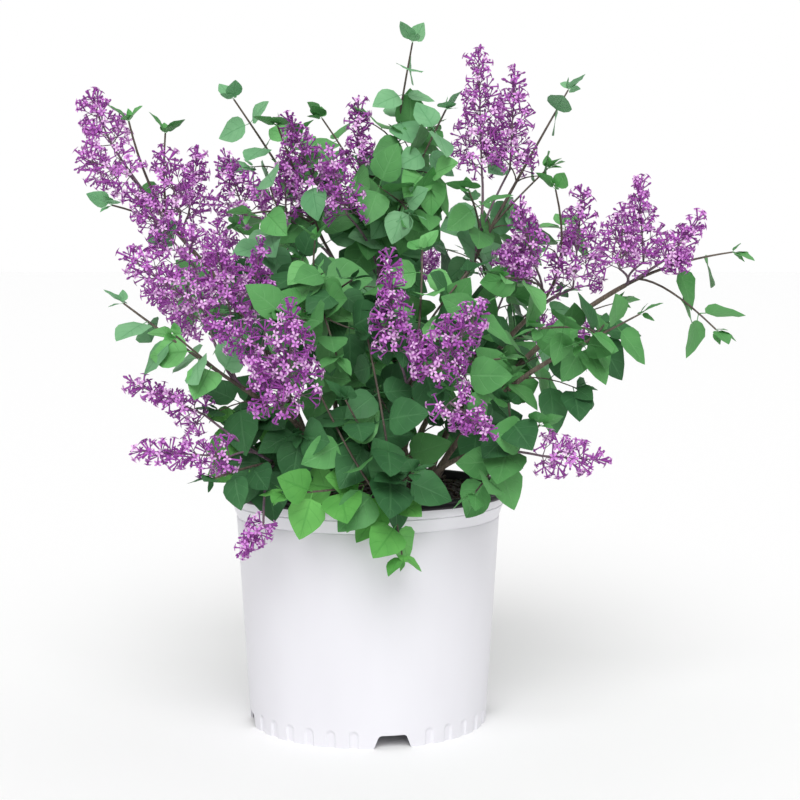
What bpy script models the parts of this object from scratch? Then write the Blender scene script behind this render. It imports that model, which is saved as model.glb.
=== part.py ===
"""A dwarf lilac in flower, in the nursery pot it is sold in, at its real size.

Metres, +Z up. The pot stands on z = 0 with its axis on the Z axis, and the side that is
looked at first, the front, faces -Y. Seventeen boughs rise from the soil. Each ends at a
fork, and the stems of the leaf masses and of the blossom start there with a hair's gap.
"""

import itertools
import math
import random
from dataclasses import dataclass

import bmesh
import bpy
from mathutils import Matrix, Vector
from mathutils.bvhtree import BVHTree

UP = Vector((0.0, 0.0, 1.0))
GAP = 0.0003

# The pot: a moulded nursery container with a rolled lip and a raised floor.
POT_SIDES = 40
SOIL_SIDES = 24
POT_HEIGHT = 0.235
LIP_RADIUS = 0.140
LIP_HEIGHT = 0.0085
LIP_ROUND = 0.0015
LIP_INNER_RADIUS = 0.1325
BAND_RADIUS = 0.1338
BAND_DROPS = (0.008, 0.021)
BODY_TOP_RADIUS = 0.130
FOOT_RADIUS = 0.1175
WALL = 0.002
FLOOR_UNDERSIDE = 0.013
FLOOR_TOP = 0.015
PAD_RADIUS = 0.030
SHARP_ANGLE_DEG = 35.0
NOTCH_COUNT = 4
NOTCH_FIRST_DEG = -78.8
NOTCH_FOOT_WIDTH = 0.041
NOTCH_TOP_WIDTH = 0.026
NOTCH_HEIGHT = 0.0125
NOTCH_DEPTH = 0.016

# The soil that fills it, flat where the boughs stand.
SOIL_TOP = 0.2275
SOIL_EDGE_TOP = 0.2260
SOIL_FLAT_RADIUS = 0.080

# Twigs are three-sided and boughs five-sided.
BOUGH_SIDES = 5
BOUGH_STEPS = 6
TWIG_SIDES = 3
TWIG_RADIUS = 0.0016
TWIG_TIP_RADIUS = 0.0012
SIDE_TWIG_RADIUS = 0.0013
SIDE_TWIG_TIP_RADIUS = 0.0010
STEM_OFFSETS = {1: 0.0, 2: 0.0020, 3: 0.0023, 4: 0.0028}
STEM_LEAD = 0.004
FOOT_LEAD = 0.006
CLEARANCE = 0.0005
FORK_PLACES = (0.16, 0.22, 0.30, 0.38, 0.12, 0.46, 0.54, 0.62)
END_SHIFT = 0.010
END_SHIFTS = (Vector(), *(END_SHIFT * sign * axis for axis in Matrix.Identity(3) for sign in (1, -1)))

# Leaves: pairs at each node, every pair a quarter turn from the one below.
CROWN_HEART = Vector((0.0, 0.12))
NODE_SPACING = 0.042
LEAF_LENGTH = 0.053
LEAF_WIDTH = 0.043
LEAF_SIDES = 3
LEAF_THICKNESS = 0.0018
LEAF_WIDEST = 0.48
LEAF_TIP_BEND = 0.12
LEAF_ROOT_RADIUS = 0.0005
LEAF_SUNK = 0.0001
TIP_LEAF_SCALE = 0.62
TIP_LEAF_NARROW = 0.55

# Blossom: clusters of florets, each a flared horn, wound round the panicle's axis.
HORN_SIDES = 4
HORN_ROOT_RADIUS = 0.00035
HORN_FLARE = 0.30
HORNS = 6
HORNS_SMALL = 5
SMALL_PANICLE = 0.025
HORN_TURN_DEG = 137.5


@dataclass(frozen=True)
class Bough:
    """A limb from the soil to the fork that ends it."""

    foot: tuple
    tip: tuple
    radius: float = 0.0036


@dataclass(frozen=True)
class LeafMass:
    """Leafy shoots from one bough; the first tip ends the main shoot."""

    bough: str
    tips: tuple
    reach: float
    seed: int


@dataclass(frozen=True)
class Blossom:
    """Panicles from one bough, each as its base, its tip and its half width."""

    bough: str
    panicles: tuple
    seed: int


BOUGHS = {
    "left_high": Bough((-0.045, 0.000), (-0.171, -0.030, 0.468)),
    "left": Bough((-0.050, -0.028), (-0.115, -0.120, 0.340)),
    "left_front": Bough((-0.040, -0.055), (-0.076, -0.140, 0.320), 0.0040),
    "low_left": Bough((-0.064, -0.044), (-0.084, -0.100, 0.268), 0.0030),
    "whip": Bough((0.044, -0.014), (-0.030, 0.016, 0.450), 0.0030),
    "inner_left": Bough((-0.022, -0.026), (-0.046, -0.060, 0.390), 0.0030),
    "top": Bough((0.006, 0.014), (0.012, 0.034, 0.420), 0.0034),
    "top_right": Bough((0.028, 0.012), (0.096, 0.004, 0.440), 0.0046),
    "right_high": Bough((0.058, 0.010), (0.165, 0.010, 0.405), 0.0036),
    "right": Bough((0.062, -0.016), (0.251, -0.020, 0.432), 0.0036),
    "right_low": Bough((0.056, -0.040), (0.190, -0.080, 0.372), 0.0034),
    "low_right": Bough((0.044, -0.060), (0.116, -0.130, 0.283), 0.0030),
    "front": Bough((0.014, -0.048), (0.034, -0.120, 0.330), 0.0036),
    "front_low": Bough((-0.008, -0.066), (0.004, -0.100, 0.261), 0.0030),
    "back_left": Bough((-0.034, 0.034), (-0.090, 0.100, 0.345), 0.0036),
    "back": Bough((0.000, 0.052), (0.008, 0.120, 0.360), 0.0040),
    "back_right": Bough((0.036, 0.042), (0.098, 0.108, 0.340), 0.0036),
}

LEAF_MASSES = {
    "left_high": LeafMass("left_high", ((-0.222, -0.075, 0.585), (-0.235, -0.10, 0.507), (-0.190, -0.06, 0.575)), 0.035, 1),
    "left": LeafMass("left", ((-0.220, -0.14, 0.418), (-0.170, -0.17, 0.390)), 0.035, 2),
    "low_left": LeafMass("low_left", ((-0.137, -0.17, 0.263), (-0.130, -0.10, 0.308)), 0.035, 3),
    "whip": LeafMass(
        "whip", ((-0.130, 0.00, 0.612), (-0.086, -0.03, 0.584), (-0.110, -0.07, 0.500)), 0.04, 4
    ),
    "inner_left": LeafMass(
        "inner_left",
        ((-0.049, -0.09, 0.475), (-0.014, -0.13, 0.439), (-0.060, -0.13, 0.405), (-0.028, -0.16, 0.372)),
        0.05,
        5,
    ),
    "top": LeafMass(
        "top",
        ((0.044, 0.01, 0.668), (0.075, -0.03, 0.600), (-0.045, 0.03, 0.596), (0.040, -0.05, 0.500), (-0.05, 0.07, 0.50)),
        0.04,
        6,
    ),
    "top_right": LeafMass(
        "top_right", ((0.199, 0.03, 0.624), (0.095, -0.06, 0.523), (0.175, -0.01, 0.545)), 0.04, 7
    ),
    "right_high": LeafMass("right_high", ((0.181, -0.03, 0.524), (0.130, -0.06, 0.440)), 0.05, 8),
    "right": LeafMass("right", ((0.355, -0.02, 0.464), (0.334, -0.05, 0.390)), 0.035, 9),
    "right_low": LeafMass(
        "right_low",
        ((0.256, -0.08, 0.406), (0.196, -0.12, 0.380), (0.228, -0.04, 0.395), (0.155, -0.14, 0.395)),
        0.035,
        10,
    ),
    "low_right": LeafMass(
        "low_right", ((0.153, -0.17, 0.310), (0.095, -0.175, 0.250), (0.125, -0.17, 0.330)), 0.035, 27
    ),
    "front": LeafMass(
        "front",
        ((0.051, -0.08, 0.466), (0.117, -0.18, 0.370), (0.064, -0.17, 0.345), (0.092, -0.10, 0.445)),
        0.055,
        12,
    ),
    "front_low": LeafMass(
        "front_low",
        (
            (0.030, -0.178, 0.195),
            (-0.020, -0.18, 0.334),
            (-0.074, -0.175, 0.250),
            (0.040, -0.19, 0.270),
            (0.000, -0.14, 0.385),
            (-0.045, -0.15, 0.340),
        ),
        0.035,
        13,
    ),
    "back_left": LeafMass("back_left", ((-0.200, 0.17, 0.420), (-0.110, 0.19, 0.520), (-0.150, 0.05, 0.400), (-0.080, 0.085, 0.470)), 0.055, 14),
    "back": LeafMass("back", ((0.000, 0.25, 0.430), (0.060, 0.17, 0.570), (-0.050, 0.20, 0.320), (0.020, 0.09, 0.510)), 0.055, 15),
    "back_right": LeafMass("back_right", ((0.210, 0.19, 0.420), (0.140, 0.22, 0.510), (0.190, 0.06, 0.380), (0.110, 0.085, 0.470)), 0.055, 16),
}

BLOSSOMS = {
    "left_top": Blossom(
        "left_high",
        (
            ((-0.242, -0.05, 0.565), (-0.265, -0.05, 0.618), 0.031),
            ((-0.222, -0.07, 0.535), (-0.272, -0.09, 0.554), 0.030),
        ),
        1,
    ),
    "left_crest": Blossom(
        "left_high",
        (
            ((-0.178, -0.05, 0.502), (-0.195, -0.06, 0.566), 0.030),
            ((-0.172, -0.03, 0.500), (-0.163, -0.01, 0.567), 0.026),
        ),
        2,
    ),
    "left_wide": Blossom(
        "left",
        (
            ((-0.149, -0.12, 0.410), (-0.222, -0.15, 0.466), 0.036),
            ((-0.160, -0.09, 0.450), (-0.226, -0.09, 0.528), 0.034),
        ),
        3,
    ),
    "left_inner": Blossom(
        "left",
        (
            ((-0.125, -0.12, 0.407), (-0.140, -0.13, 0.482), 0.032),
            ((-0.108, -0.10, 0.409), (-0.099, -0.08, 0.480), 0.026),
        ),
        4,
    ),
    "left_front": Blossom(
        "left_front",
        (
            ((-0.070, -0.17, 0.335), (-0.067, -0.19, 0.425), 0.033),
            ((-0.082, -0.17, 0.325), (-0.100, -0.20, 0.375), 0.026),
            ((-0.095, -0.16, 0.380), (-0.145, -0.18, 0.402), 0.026),
        ),
        5,
    ),
    "low_left": Blossom(
        "low_left",
        (
            ((-0.149, -0.13, 0.316), (-0.222, -0.14, 0.350), 0.022),
            ((-0.125, -0.15, 0.280), (-0.214, -0.17, 0.288), 0.024),
        ),
        6,
    ),
    "rim_left": Blossom("low_left", (((-0.094, -0.165, 0.222), (-0.118, -0.170, 0.190), 0.017),), 7),
    "inner_back": Blossom(
        "whip",
        (
            ((-0.120, 0.00, 0.500), (-0.141, -0.01, 0.566), 0.028),
            ((-0.080, 0.00, 0.500), (-0.080, -0.02, 0.560), 0.026),
        ),
        8,
    ),
    "top_left": Blossom(
        "top",
        (
            ((-0.008, 0.02, 0.550), (-0.009, 0.02, 0.620), 0.022),
            ((-0.050, -0.01, 0.530), (-0.080, -0.03, 0.600), 0.028),
        ),
        9,
    ),
    "top_inner": Blossom("top", (((-0.020, -0.03, 0.500), (-0.040, -0.06, 0.566), 0.028),), 10),
    "top_right": Blossom(
        "top_right",
        (
            ((0.111, -0.01, 0.545), (0.107, -0.01, 0.664), 0.034),
            ((0.140, 0.01, 0.545), (0.145, 0.01, 0.648), 0.030),
        ),
        11,
    ),
    "right_inner": Blossom(
        "right_high",
        (
            ((0.160, -0.02, 0.455), (0.143, -0.04, 0.518), 0.027),
            ((0.150, -0.03, 0.445), (0.123, -0.05, 0.468), 0.018),
        ),
        12,
    ),
    "right_high": Blossom("right_high", (((0.202, 0.00, 0.428), (0.212, 0.00, 0.532), 0.035),), 13),
    "right_crest": Blossom(
        "right",
        (
            ((0.242, -0.04, 0.448), (0.246, -0.04, 0.512), 0.033),
            ((0.270, -0.01, 0.454), (0.266, 0.00, 0.542), 0.027),
        ),
        14,
    ),
    "right_tip": Blossom(
        "right",
        (
            ((0.294, -0.03, 0.462), (0.326, -0.03, 0.504), 0.022),
            ((0.288, -0.04, 0.458), (0.309, -0.055, 0.454), 0.014),
        ),
        15,
    ),
    "front_left": Blossom(
        "front",
        (
            ((0.024, -0.16, 0.375), (0.018, -0.18, 0.470), 0.024),
            ((0.058, -0.18, 0.358), (0.036, -0.20, 0.390), 0.020),
        ),
        16,
    ),
    "front_right": Blossom("front", (((0.062, -0.17, 0.362), (0.104, -0.19, 0.424), 0.032),), 17),
    "front_low": Blossom("low_right", (((0.072, -0.185, 0.332), (0.112, -0.215, 0.303), 0.028),), 18),
    "low_right": Blossom("low_right", (((0.158, -0.15, 0.280), (0.218, -0.17, 0.278), 0.028),), 19),
    "back_left": Blossom(
        "back_left",
        (
            ((-0.140, 0.14, 0.430), (-0.165, 0.17, 0.500), 0.032),
            ((-0.170, 0.11, 0.390), (-0.240, 0.13, 0.430), 0.030),
        ),
        20,
    ),
    "back": Blossom(
        "back",
        (
            ((0.000, 0.18, 0.490), (-0.010, 0.22, 0.560), 0.034),
            ((0.040, 0.20, 0.440), (0.080, 0.27, 0.460), 0.030),
        ),
        21,
    ),
    "back_right": Blossom(
        "back_right",
        (
            ((0.150, 0.15, 0.430), (0.180, 0.17, 0.500), 0.032),
            ((0.180, 0.15, 0.370), (0.255, 0.20, 0.385), 0.030),
        ),
        22,
    ),
}


class Space:
    """Everything that stands so far, so that nothing new grows through it."""

    def __init__(self):
        self.taken = []

    def take(self, shape, node, piece=0):
        """Marks a shape's room as used by one piece of a node."""
        points = [vert.co for vert in shape.verts]
        centre = sum(points, Vector()) / len(points)
        radius = max((point - centre).length for point in points)
        self.taken.append((BVHTree.FromBMesh(shape), centre, radius, node, piece))

    def free(self, shape, node="", piece=None):
        """Says whether a shape touches nothing but that piece of a node, or any where it is None."""
        points = [vert.co for vert in shape.verts]
        centre = sum(points, Vector()) / len(points)
        radius = max((point - centre).length for point in points)
        tree = BVHTree.FromBMesh(shape)
        for other, other_centre, other_radius, other_node, other_piece in self.taken:
            if other_node == node and piece in (None, other_piece):
                continue
            if (centre - other_centre).length > radius + other_radius:
                continue
            if tree.overlap(other):
                return False
        return True


def clear_scene():
    for obj in list(bpy.data.objects):
        bpy.data.objects.remove(obj)


def new_collection(name):
    collection = bpy.data.collections.new(name)
    bpy.context.scene.collection.children.link(collection)
    return collection


def principled(name, colour, roughness, metallic=0.0):
    material = bpy.data.materials.new(name)
    material.use_nodes = True
    shader = material.node_tree.nodes["Principled BSDF"]
    shader.inputs["Base Color"].default_value = (*colour, 1.0)
    shader.inputs["Roughness"].default_value = roughness
    shader.inputs["Metallic"].default_value = metallic
    material.diffuse_color = (*colour, 1.0)
    return material


def place(collection, name, data, material=None):
    obj = bpy.data.objects.new(name, data)
    collection.objects.link(obj)
    if material:
        data.materials.append(material)
    return obj


def mesh_from(shape, name):
    """Ends a bmesh as a mesh of triangles and quads that face outwards."""
    bmesh.ops.recalc_face_normals(shape, faces=shape.faces)
    mesh = bpy.data.meshes.new(name)
    shape.to_mesh(mesh)
    shape.free()
    return mesh


def evaluated_mesh(obj):
    bpy.context.view_layer.update()
    graph = bpy.context.evaluated_depsgraph_get()
    return bpy.data.meshes.new_from_object(obj.evaluated_get(graph))


def turned(collection, name, profile, sides, material):
    """A closed turned shape from (radius, height) points that run down its outer side."""
    mesh = bpy.data.meshes.new(name)
    points = [(radius, 0.0, height) for radius, height in profile]
    mesh.from_pydata(points, [(i, i + 1) for i in range(len(points) - 1)], [])
    obj = place(collection, name, mesh, material)
    screw = obj.modifiers.new("turn", "SCREW")
    screw.steps = sides
    screw.render_steps = sides
    screw.use_merge_vertices = True
    screw.merge_threshold = 0.0001
    screw.use_smooth_shade = True
    return obj


def wall_radius(height):
    """The pot body's outer radius at a height, below its upper band."""
    top = POT_HEIGHT - LIP_HEIGHT - BAND_DROPS[1]
    return FOOT_RADIUS + (BODY_TOP_RADIUS - FOOT_RADIUS) * height / top


def pot_profile():
    """From the middle of the floor, up the inside, over the lip and down to the pad."""
    lip_foot = POT_HEIGHT - LIP_HEIGHT
    bands = [lip_foot - drop for drop in BAND_DROPS]
    return [
        (0.0, FLOOR_TOP),
        (wall_radius(FLOOR_TOP) - WALL, FLOOR_TOP),
        (BODY_TOP_RADIUS - WALL, bands[1]),
        (BAND_RADIUS - WALL, bands[0]),
        (LIP_INNER_RADIUS, POT_HEIGHT),
        (LIP_RADIUS - LIP_ROUND, POT_HEIGHT),
        (LIP_RADIUS, POT_HEIGHT - LIP_ROUND),
        (LIP_RADIUS, lip_foot),
        (BAND_RADIUS, lip_foot),
        (BAND_RADIUS, bands[0]),
        (BODY_TOP_RADIUS, bands[1]),
        (FOOT_RADIUS, 0.0),
        (FOOT_RADIUS - WALL, 0.0),
        (FOOT_RADIUS - WALL, FLOOR_UNDERSIDE),
        (PAD_RADIUS, FLOOR_UNDERSIDE),
        (PAD_RADIUS, 0.0),
        (0.0, 0.0),
    ]


def notch_cutter(collection, turn_deg):
    """A block, narrower at its top, through the pot's foot at one angle."""
    shape = bmesh.new()
    bmesh.ops.create_cube(shape, size=1.0)
    for vert in shape.verts:
        width = NOTCH_TOP_WIDTH if vert.co.z > 0.0 else NOTCH_FOOT_WIDTH
        vert.co.x *= NOTCH_DEPTH
        vert.co.y *= width
        vert.co.z = NOTCH_HEIGHT if vert.co.z > 0.0 else -NOTCH_HEIGHT / 2
    obj = place(collection, "notch_cutter", mesh_from(shape, "notch_cutter"))
    turn = Matrix.Rotation(math.radians(turn_deg), 4, "Z")
    obj.matrix_world = turn @ Matrix.Translation((FOOT_RADIUS, 0.0, 0.0))
    obj.hide_render = True
    obj.display_type = "WIRE"


def build_pot(plant, cutters, material):
    pot = turned(plant, "pot", pot_profile(), POT_SIDES, material)
    for index in range(NOTCH_COUNT):
        notch_cutter(cutters, NOTCH_FIRST_DEG + index * 360.0 / NOTCH_COUNT)
    cut = pot.modifiers.new("drain notches", "BOOLEAN")
    cut.operation = "DIFFERENCE"
    cut.operand_type = "COLLECTION"
    cut.collection = cutters
    cut.solver = "EXACT"
    mesh = evaluated_mesh(pot)
    pot.modifiers.clear()
    pot.data = mesh
    mesh.name = "pot"
    for cutter in list(cutters.objects):
        bpy.data.objects.remove(cutter)
    mesh.set_sharp_from_angle(angle=math.radians(SHARP_ANGLE_DEG))
    return pot


def build_soil(plant, material):
    band_foot = POT_HEIGHT - LIP_HEIGHT - BAND_DROPS[1]
    gap = 1.5 * GAP
    profile = [
        (0.0, SOIL_TOP),
        (SOIL_FLAT_RADIUS, SOIL_TOP),
        (BAND_RADIUS - WALL - gap, SOIL_EDGE_TOP),
        (BAND_RADIUS - WALL - gap, POT_HEIGHT - LIP_HEIGHT - BAND_DROPS[0]),
        (BODY_TOP_RADIUS - WALL - gap, band_foot),
        (wall_radius(FLOOR_TOP) - WALL - gap, FLOOR_TOP + gap),
        (0.0, FLOOR_TOP + gap),
    ]
    return turned(plant, "soil", profile, SOIL_SIDES, material)


def bend(start, heading, end, steps, pull=0.45):
    """Points of a curve that leaves start along heading and comes to end."""
    control = start + heading.normalized() * (end - start).length * pull
    points = []
    for index in range(steps + 1):
        t = index / steps
        points.append((1 - t) ** 2 * start + 2 * t * (1 - t) * control + t * t * end)
    return points


def along(points, fraction):
    """The place on a line of points at a fraction of its length, and its direction."""
    lengths = [(b - a).length for a, b in zip(points, points[1:])]
    left = fraction * sum(lengths)
    for a, b, length in zip(points, points[1:], lengths):
        if left <= length:
            return a.lerp(b, left / length), (b - a).normalized()
        left -= length
    return points[-1].copy(), (b - a).normalized()


def tube(points, radii, sides, name):
    """A tapering limb of flat sides along points, as a closed bmesh."""
    ring = bpy.data.curves.new(name + "_ring", "CURVE")
    spline = ring.splines.new("POLY")
    spline.points.add(sides - 1)
    for index, point in enumerate(spline.points):
        angle = -2.0 * math.pi * index / sides
        point.co = (math.cos(angle), math.sin(angle), 0.0, 1.0)
    spline.use_cyclic_u = True
    ring_obj = place(bpy.context.scene.collection, name + "_ring", ring)
    line = bpy.data.curves.new(name, "CURVE")
    line.dimensions = "3D"
    line.bevel_mode = "OBJECT"
    line.bevel_object = ring_obj
    line.use_fill_caps = True
    spline = line.splines.new("POLY")
    spline.points.add(len(points) - 1)
    for point, place_at, radius in zip(spline.points, points, radii):
        point.co = (*place_at, 1.0)
        point.radius = radius
    line_obj = place(bpy.context.scene.collection, name, line)
    mesh = evaluated_mesh(line_obj)
    bpy.data.objects.remove(line_obj)
    bpy.data.objects.remove(ring_obj)
    shape = bmesh.new()
    shape.from_mesh(mesh)
    bpy.data.meshes.remove(mesh)
    bmesh.ops.remove_doubles(shape, verts=shape.verts, dist=0.00001)
    bmesh.ops.triangulate(shape, faces=shape.faces)
    return shape


def cone(start, end, start_radius, end_radius, sides):
    """A straight tapering piece between two points."""
    span = end - start
    shape = bmesh.new()
    bmesh.ops.create_cone(
        shape,
        cap_ends=True,
        segments=sides,
        radius1=start_radius,
        radius2=end_radius,
        depth=span.length,
    )
    turn = span.to_track_quat("Z", "Y").to_matrix().to_4x4()
    middle = Matrix.Translation((start + end) / 2)
    bmesh.ops.transform(shape, matrix=middle @ turn, verts=shape.verts)
    return shape


def leaf(root, heading, face, length, width, extra=0.0):
    """A blade with a keel under it, widest at its middle, its pointed tip bent down."""
    shape = cone(-UP, UP, 1.0, 1.0, LEAF_SIDES)
    lid = max(shape.faces, key=lambda side: side.calc_center_median().z)
    tip = bmesh.ops.poke(shape, faces=[lid])["verts"][0]
    across = heading.cross(face).normalized()
    over = across.cross(heading).normalized()
    half_width = (width / 2 + extra) / math.cos(math.radians(30.0))
    thick = LEAF_THICKNESS / 1.5 + extra
    for vert in shape.verts:
        x, y, z = vert.co
        if vert == tip:
            vert.co = root + heading * (length + extra) - over * length * LEAF_TIP_BEND
        elif z > 0.0:
            middle = root + heading * length * LEAF_WIDEST
            vert.co = middle + across * x * half_width - over * y * thick
        else:
            vert.co = root + (across * x - over * y) * (LEAF_ROOT_RADIUS + extra)
    bmesh.ops.triangulate(shape, faces=shape.faces)
    return shape


def fork_of(name):
    """A bough's line and the direction of its end."""
    bough = BOUGHS[name]
    foot = Vector((*bough.foot, SOIL_TOP + GAP))
    tip = Vector(bough.tip)
    span = tip - foot
    rise = Vector((0.35 * span.x, 0.35 * span.y, 0.62 * span.z))
    points = [foot, *bend(foot + UP * FOOT_LEAD, rise, tip, BOUGH_STEPS, 0.55)]
    return points, (points[-1] - points[-2]).normalized()


def build_bough(plant, name, material, space):
    bough = BOUGHS[name]
    points, _ = fork_of(name)
    last = len(points) - 1
    radii = [bough.radius * (1.0 - 0.38 * i / last) for i in range(last + 1)]
    radii[0] *= 1.3
    shape = tube(points, radii, BOUGH_SIDES, "bough_" + name)
    space.take(shape, "bough_" + name)
    place(plant, "bough_" + name, mesh_from(shape, "bough_" + name), material)


def stem_starts():
    """Where each mass and each blossom group begins at its bough's tip, side by side."""
    starts = {}
    for name in BOUGHS:
        points, heading = fork_of(name)
        aims = {("leaves", key): row.tips[0] for key, row in LEAF_MASSES.items() if row.bough == name}
        for key, row in BLOSSOMS.items():
            if row.bough == name:
                aims[("blossom", key)] = row.panicles[0][0]
        offset = STEM_OFFSETS[len(aims)]
        across = heading.orthogonal().normalized()
        angles = {}
        for key, aim in aims.items():
            out = Vector(aim) - points[-1]
            out -= heading * out.dot(heading)
            angles[key] = math.atan2(out.dot(heading.cross(across)), out.dot(across))
        order = sorted(angles, key=angles.get)
        first = angles[order[0]]
        for index, key in enumerate(order):
            turn = first + index * 2.0 * math.pi / len(order)
            side = Matrix.Rotation(turn, 3, heading) @ across
            starts[key] = (points[-1] + heading * 2 * GAP + side * offset, heading)
    return starts


def joined(plant, mass, material):
    """One solid from a mass's stem and everything fused on it."""
    helper = new_collection(mass.name + "_grafts")
    for index, graft in enumerate(mass.grafts):
        place(helper, f"{mass.name}_graft_{index}", mesh_from(graft, "graft"))
    obj = place(plant, mass.name, mesh_from(mass.stem, mass.name))
    union = obj.modifiers.new("join", "BOOLEAN")
    union.operation = "UNION"
    union.operand_type = "COLLECTION"
    union.collection = helper
    union.solver = "EXACT"
    mesh = evaluated_mesh(obj)
    mesh.name = mass.name
    obj.modifiers.clear()
    obj.data = mesh
    mesh.materials.clear()
    mesh.materials.append(material)
    for graft in list(helper.objects):
        bpy.data.objects.remove(graft)
    bpy.data.collections.remove(helper)
    return obj


def main_line(start, heading, end):
    """The curved line that a main twig follows from its bough's tip."""
    return [start, *bend(start + heading * STEM_LEAD, heading, end, 4)]


def side_of(direction, turn):
    """A direction square to a twig, turned round it."""
    level = direction.cross(UP)
    if level.length < 0.2:
        level = direction.cross(Vector((1.0, 0.0, 0.0)))
    return Matrix.Rotation(turn, 3, direction) @ level.normalized()


def leaf_pose(root, side, direction, chance):
    """The way a leaf points, drooping, and the way its face looks: outwards and up."""
    outward = Vector((root.x - CROWN_HEART.x, root.y - CROWN_HEART.y, 0.0)).normalized()
    droop = chance.uniform(0.30, 0.85)
    heading = (side * 0.80 + direction * 0.20 + outward * 0.20 - UP * droop).normalized()
    wobble = Vector((chance.uniform(-1, 1), chance.uniform(-1, 1), chance.uniform(-1, 1)))
    face = UP * 0.40 + outward * 0.85 + wobble * 0.25
    return heading, face.normalized()


class Mass:
    """Collects one node's pieces, and keeps each clear of all the others."""

    def __init__(self, name, points, space):
        self.name = name
        self.points = points
        self.space = space
        self.grafts = []
        last = len(points) - 1
        radii = [TWIG_RADIUS + (TWIG_TIP_RADIUS - TWIG_RADIUS) * i / last for i in range(last + 1)]
        self.stem = tube(points, radii, TWIG_SIDES, name)
        if not space.free(self.stem):
            raise ValueError(f"{name}: no room for the main twig")
        space.take(self.stem, name)
        self.shoots = [(points, 0)]

    def add(self, shape, room, twig):
        """Adds a piece if it has room off the twig it grows on, and gives its number, or None."""
        roomy = self.space.free(shape, self.name) and self.space.free(room, self.name, twig)
        room.free()
        if not roomy:
            shape.free()
            return None
        self.grafts.append(shape)
        self.space.take(shape, self.name, len(self.grafts))
        return len(self.grafts)

    def add_leaf(self, spot, side, direction, twig, chance, tip=False):
        """Adds one leaf at a spot on a twig."""
        heading, face = leaf_pose(spot, side, direction, chance)
        scale = chance.uniform(0.85, 1.1)
        width = LEAF_WIDTH * scale
        if tip:
            scale *= TIP_LEAF_SCALE
            width *= TIP_LEAF_SCALE * TIP_LEAF_NARROW
            heading = (side * 0.7 + direction * 0.7).normalized()
        root = spot + heading * LEAF_SUNK
        length = LEAF_LENGTH * scale
        shape = leaf(root, heading, face, length, width)
        room = leaf(root + heading * 2 * CLEARANCE, heading, face, length, width, CLEARANCE)
        return self.add(shape, room, twig)

    def add_pair(self, spot, direction, turn, twig, chance, tip=False):
        """Adds two leaves, one on each side of a twig, and says how many had room."""
        added = 0
        for half_turn in (0.0, math.pi):
            side = side_of(direction, turn + half_turn)
            added += bool(self.add_leaf(spot, side, direction, twig, chance, tip))
        return added

    def add_side_twig(self, start, end, twig):
        """Adds a straight twig, and gives its number, or None."""
        shape = cone(start, end, SIDE_TWIG_RADIUS, SIDE_TWIG_TIP_RADIUS, TWIG_SIDES)
        off = (end - start).normalized() * 4 * CLEARANCE
        room = cone(
            start + off,
            end + off,
            SIDE_TWIG_RADIUS + CLEARANCE,
            SIDE_TWIG_TIP_RADIUS + CLEARANCE,
            TWIG_SIDES,
        )
        return self.add(shape, room, twig)

    def add_fork(self, end):
        """Adds a shoot from the first place along the main twig that has room for it."""
        for shift, fraction in itertools.product(END_SHIFTS, FORK_PLACES):
            fork, _ = along(self.points, fraction)
            shoot = self.add_side_twig(fork, end + shift, 0)
            if shoot is not None:
                return fork, end + shift, shoot
        raise ValueError(f"{self.name}: no room for the shoot to {tuple(end)}")


def grow_leader(mass, points, twig, row, chance):
    """Leaf pairs up a shoot, with two leafy side twigs from its lowest node."""
    length = sum((b - a).length for a, b in zip(points, points[1:]))
    count = max(2, round(length / NODE_SPACING))
    phase = chance.uniform(0.0, math.pi)
    for index in range(1, count):
        spot, direction = along(points, index / count)
        turn = phase + index * math.pi / 2
        if index > 1 or count == 2:
            mass.add_pair(spot, direction, turn, twig, chance)
            continue
        for half_turn in (0.0, math.pi):
            side = side_of(direction, turn + half_turn)
            aim = (side * 0.85 + direction * 0.45 + UP * 0.15).normalized()
            end = spot + aim * row.reach * chance.uniform(0.8, 1.1)
            side_twig = mass.add_side_twig(spot, end, twig)
            if side_twig is not None:
                tip = end - aim * SIDE_TWIG_RADIUS
                mass.add_pair(tip, aim, turn + 0.8, side_twig, chance)
            else:
                mass.add_leaf(spot, side, direction, twig, chance)
    spot, direction = along(points, 1.0)
    for turn in (phase, phase + math.pi / 4, phase + math.pi / 2):
        if mass.add_pair(spot - direction * TWIG_RADIUS, direction, turn, twig, chance, True):
            break


def grow_panicle(mass, base, tip, half_width, twig, chance):
    """Flared horns wound round an axis, long at its foot and short at its tip."""
    axis = (tip - base).normalized()
    first = chance.uniform(0.0, 2.0 * math.pi)
    count = HORNS_SMALL if half_width < SMALL_PANICLE else HORNS
    for index in range(count):
        t = index / (count - 1)
        spot = base.lerp(tip, 0.02 + 0.80 * t)
        side = side_of(axis, first + index * math.radians(HORN_TURN_DEG))
        lean = math.radians(68.0 - 50.0 * t)
        aim = (side * math.sin(lean) + axis * math.cos(lean)).normalized()
        reach = half_width * (1.05 - 0.45 * t)
        mouth = HORN_FLARE * reach
        root = spot + aim * LEAF_SUNK
        shape = cone(root, spot + aim * reach, HORN_ROOT_RADIUS, mouth, HORN_SIDES)
        room = cone(
            root + aim * 4 * CLEARANCE,
            spot + aim * (reach + CLEARANCE),
            HORN_ROOT_RADIUS + CLEARANCE,
            mouth + CLEARANCE,
            HORN_SIDES,
        )
        mass.add(shape, room, twig)


def lay_leaf_shoots(key, start, heading, space):
    """A leaf mass with its main shoot and the shoots that fork from it, still bare."""
    row = LEAF_MASSES[key]
    name = "leaves_" + key
    points = main_line(start, heading, Vector(row.tips[0]))
    mass = Mass(name, points, space)
    for tip in row.tips[1:]:
        fork, end, twig = mass.add_fork(Vector(tip))
        mass.shoots.append(([fork, end], twig))
    return mass


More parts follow.
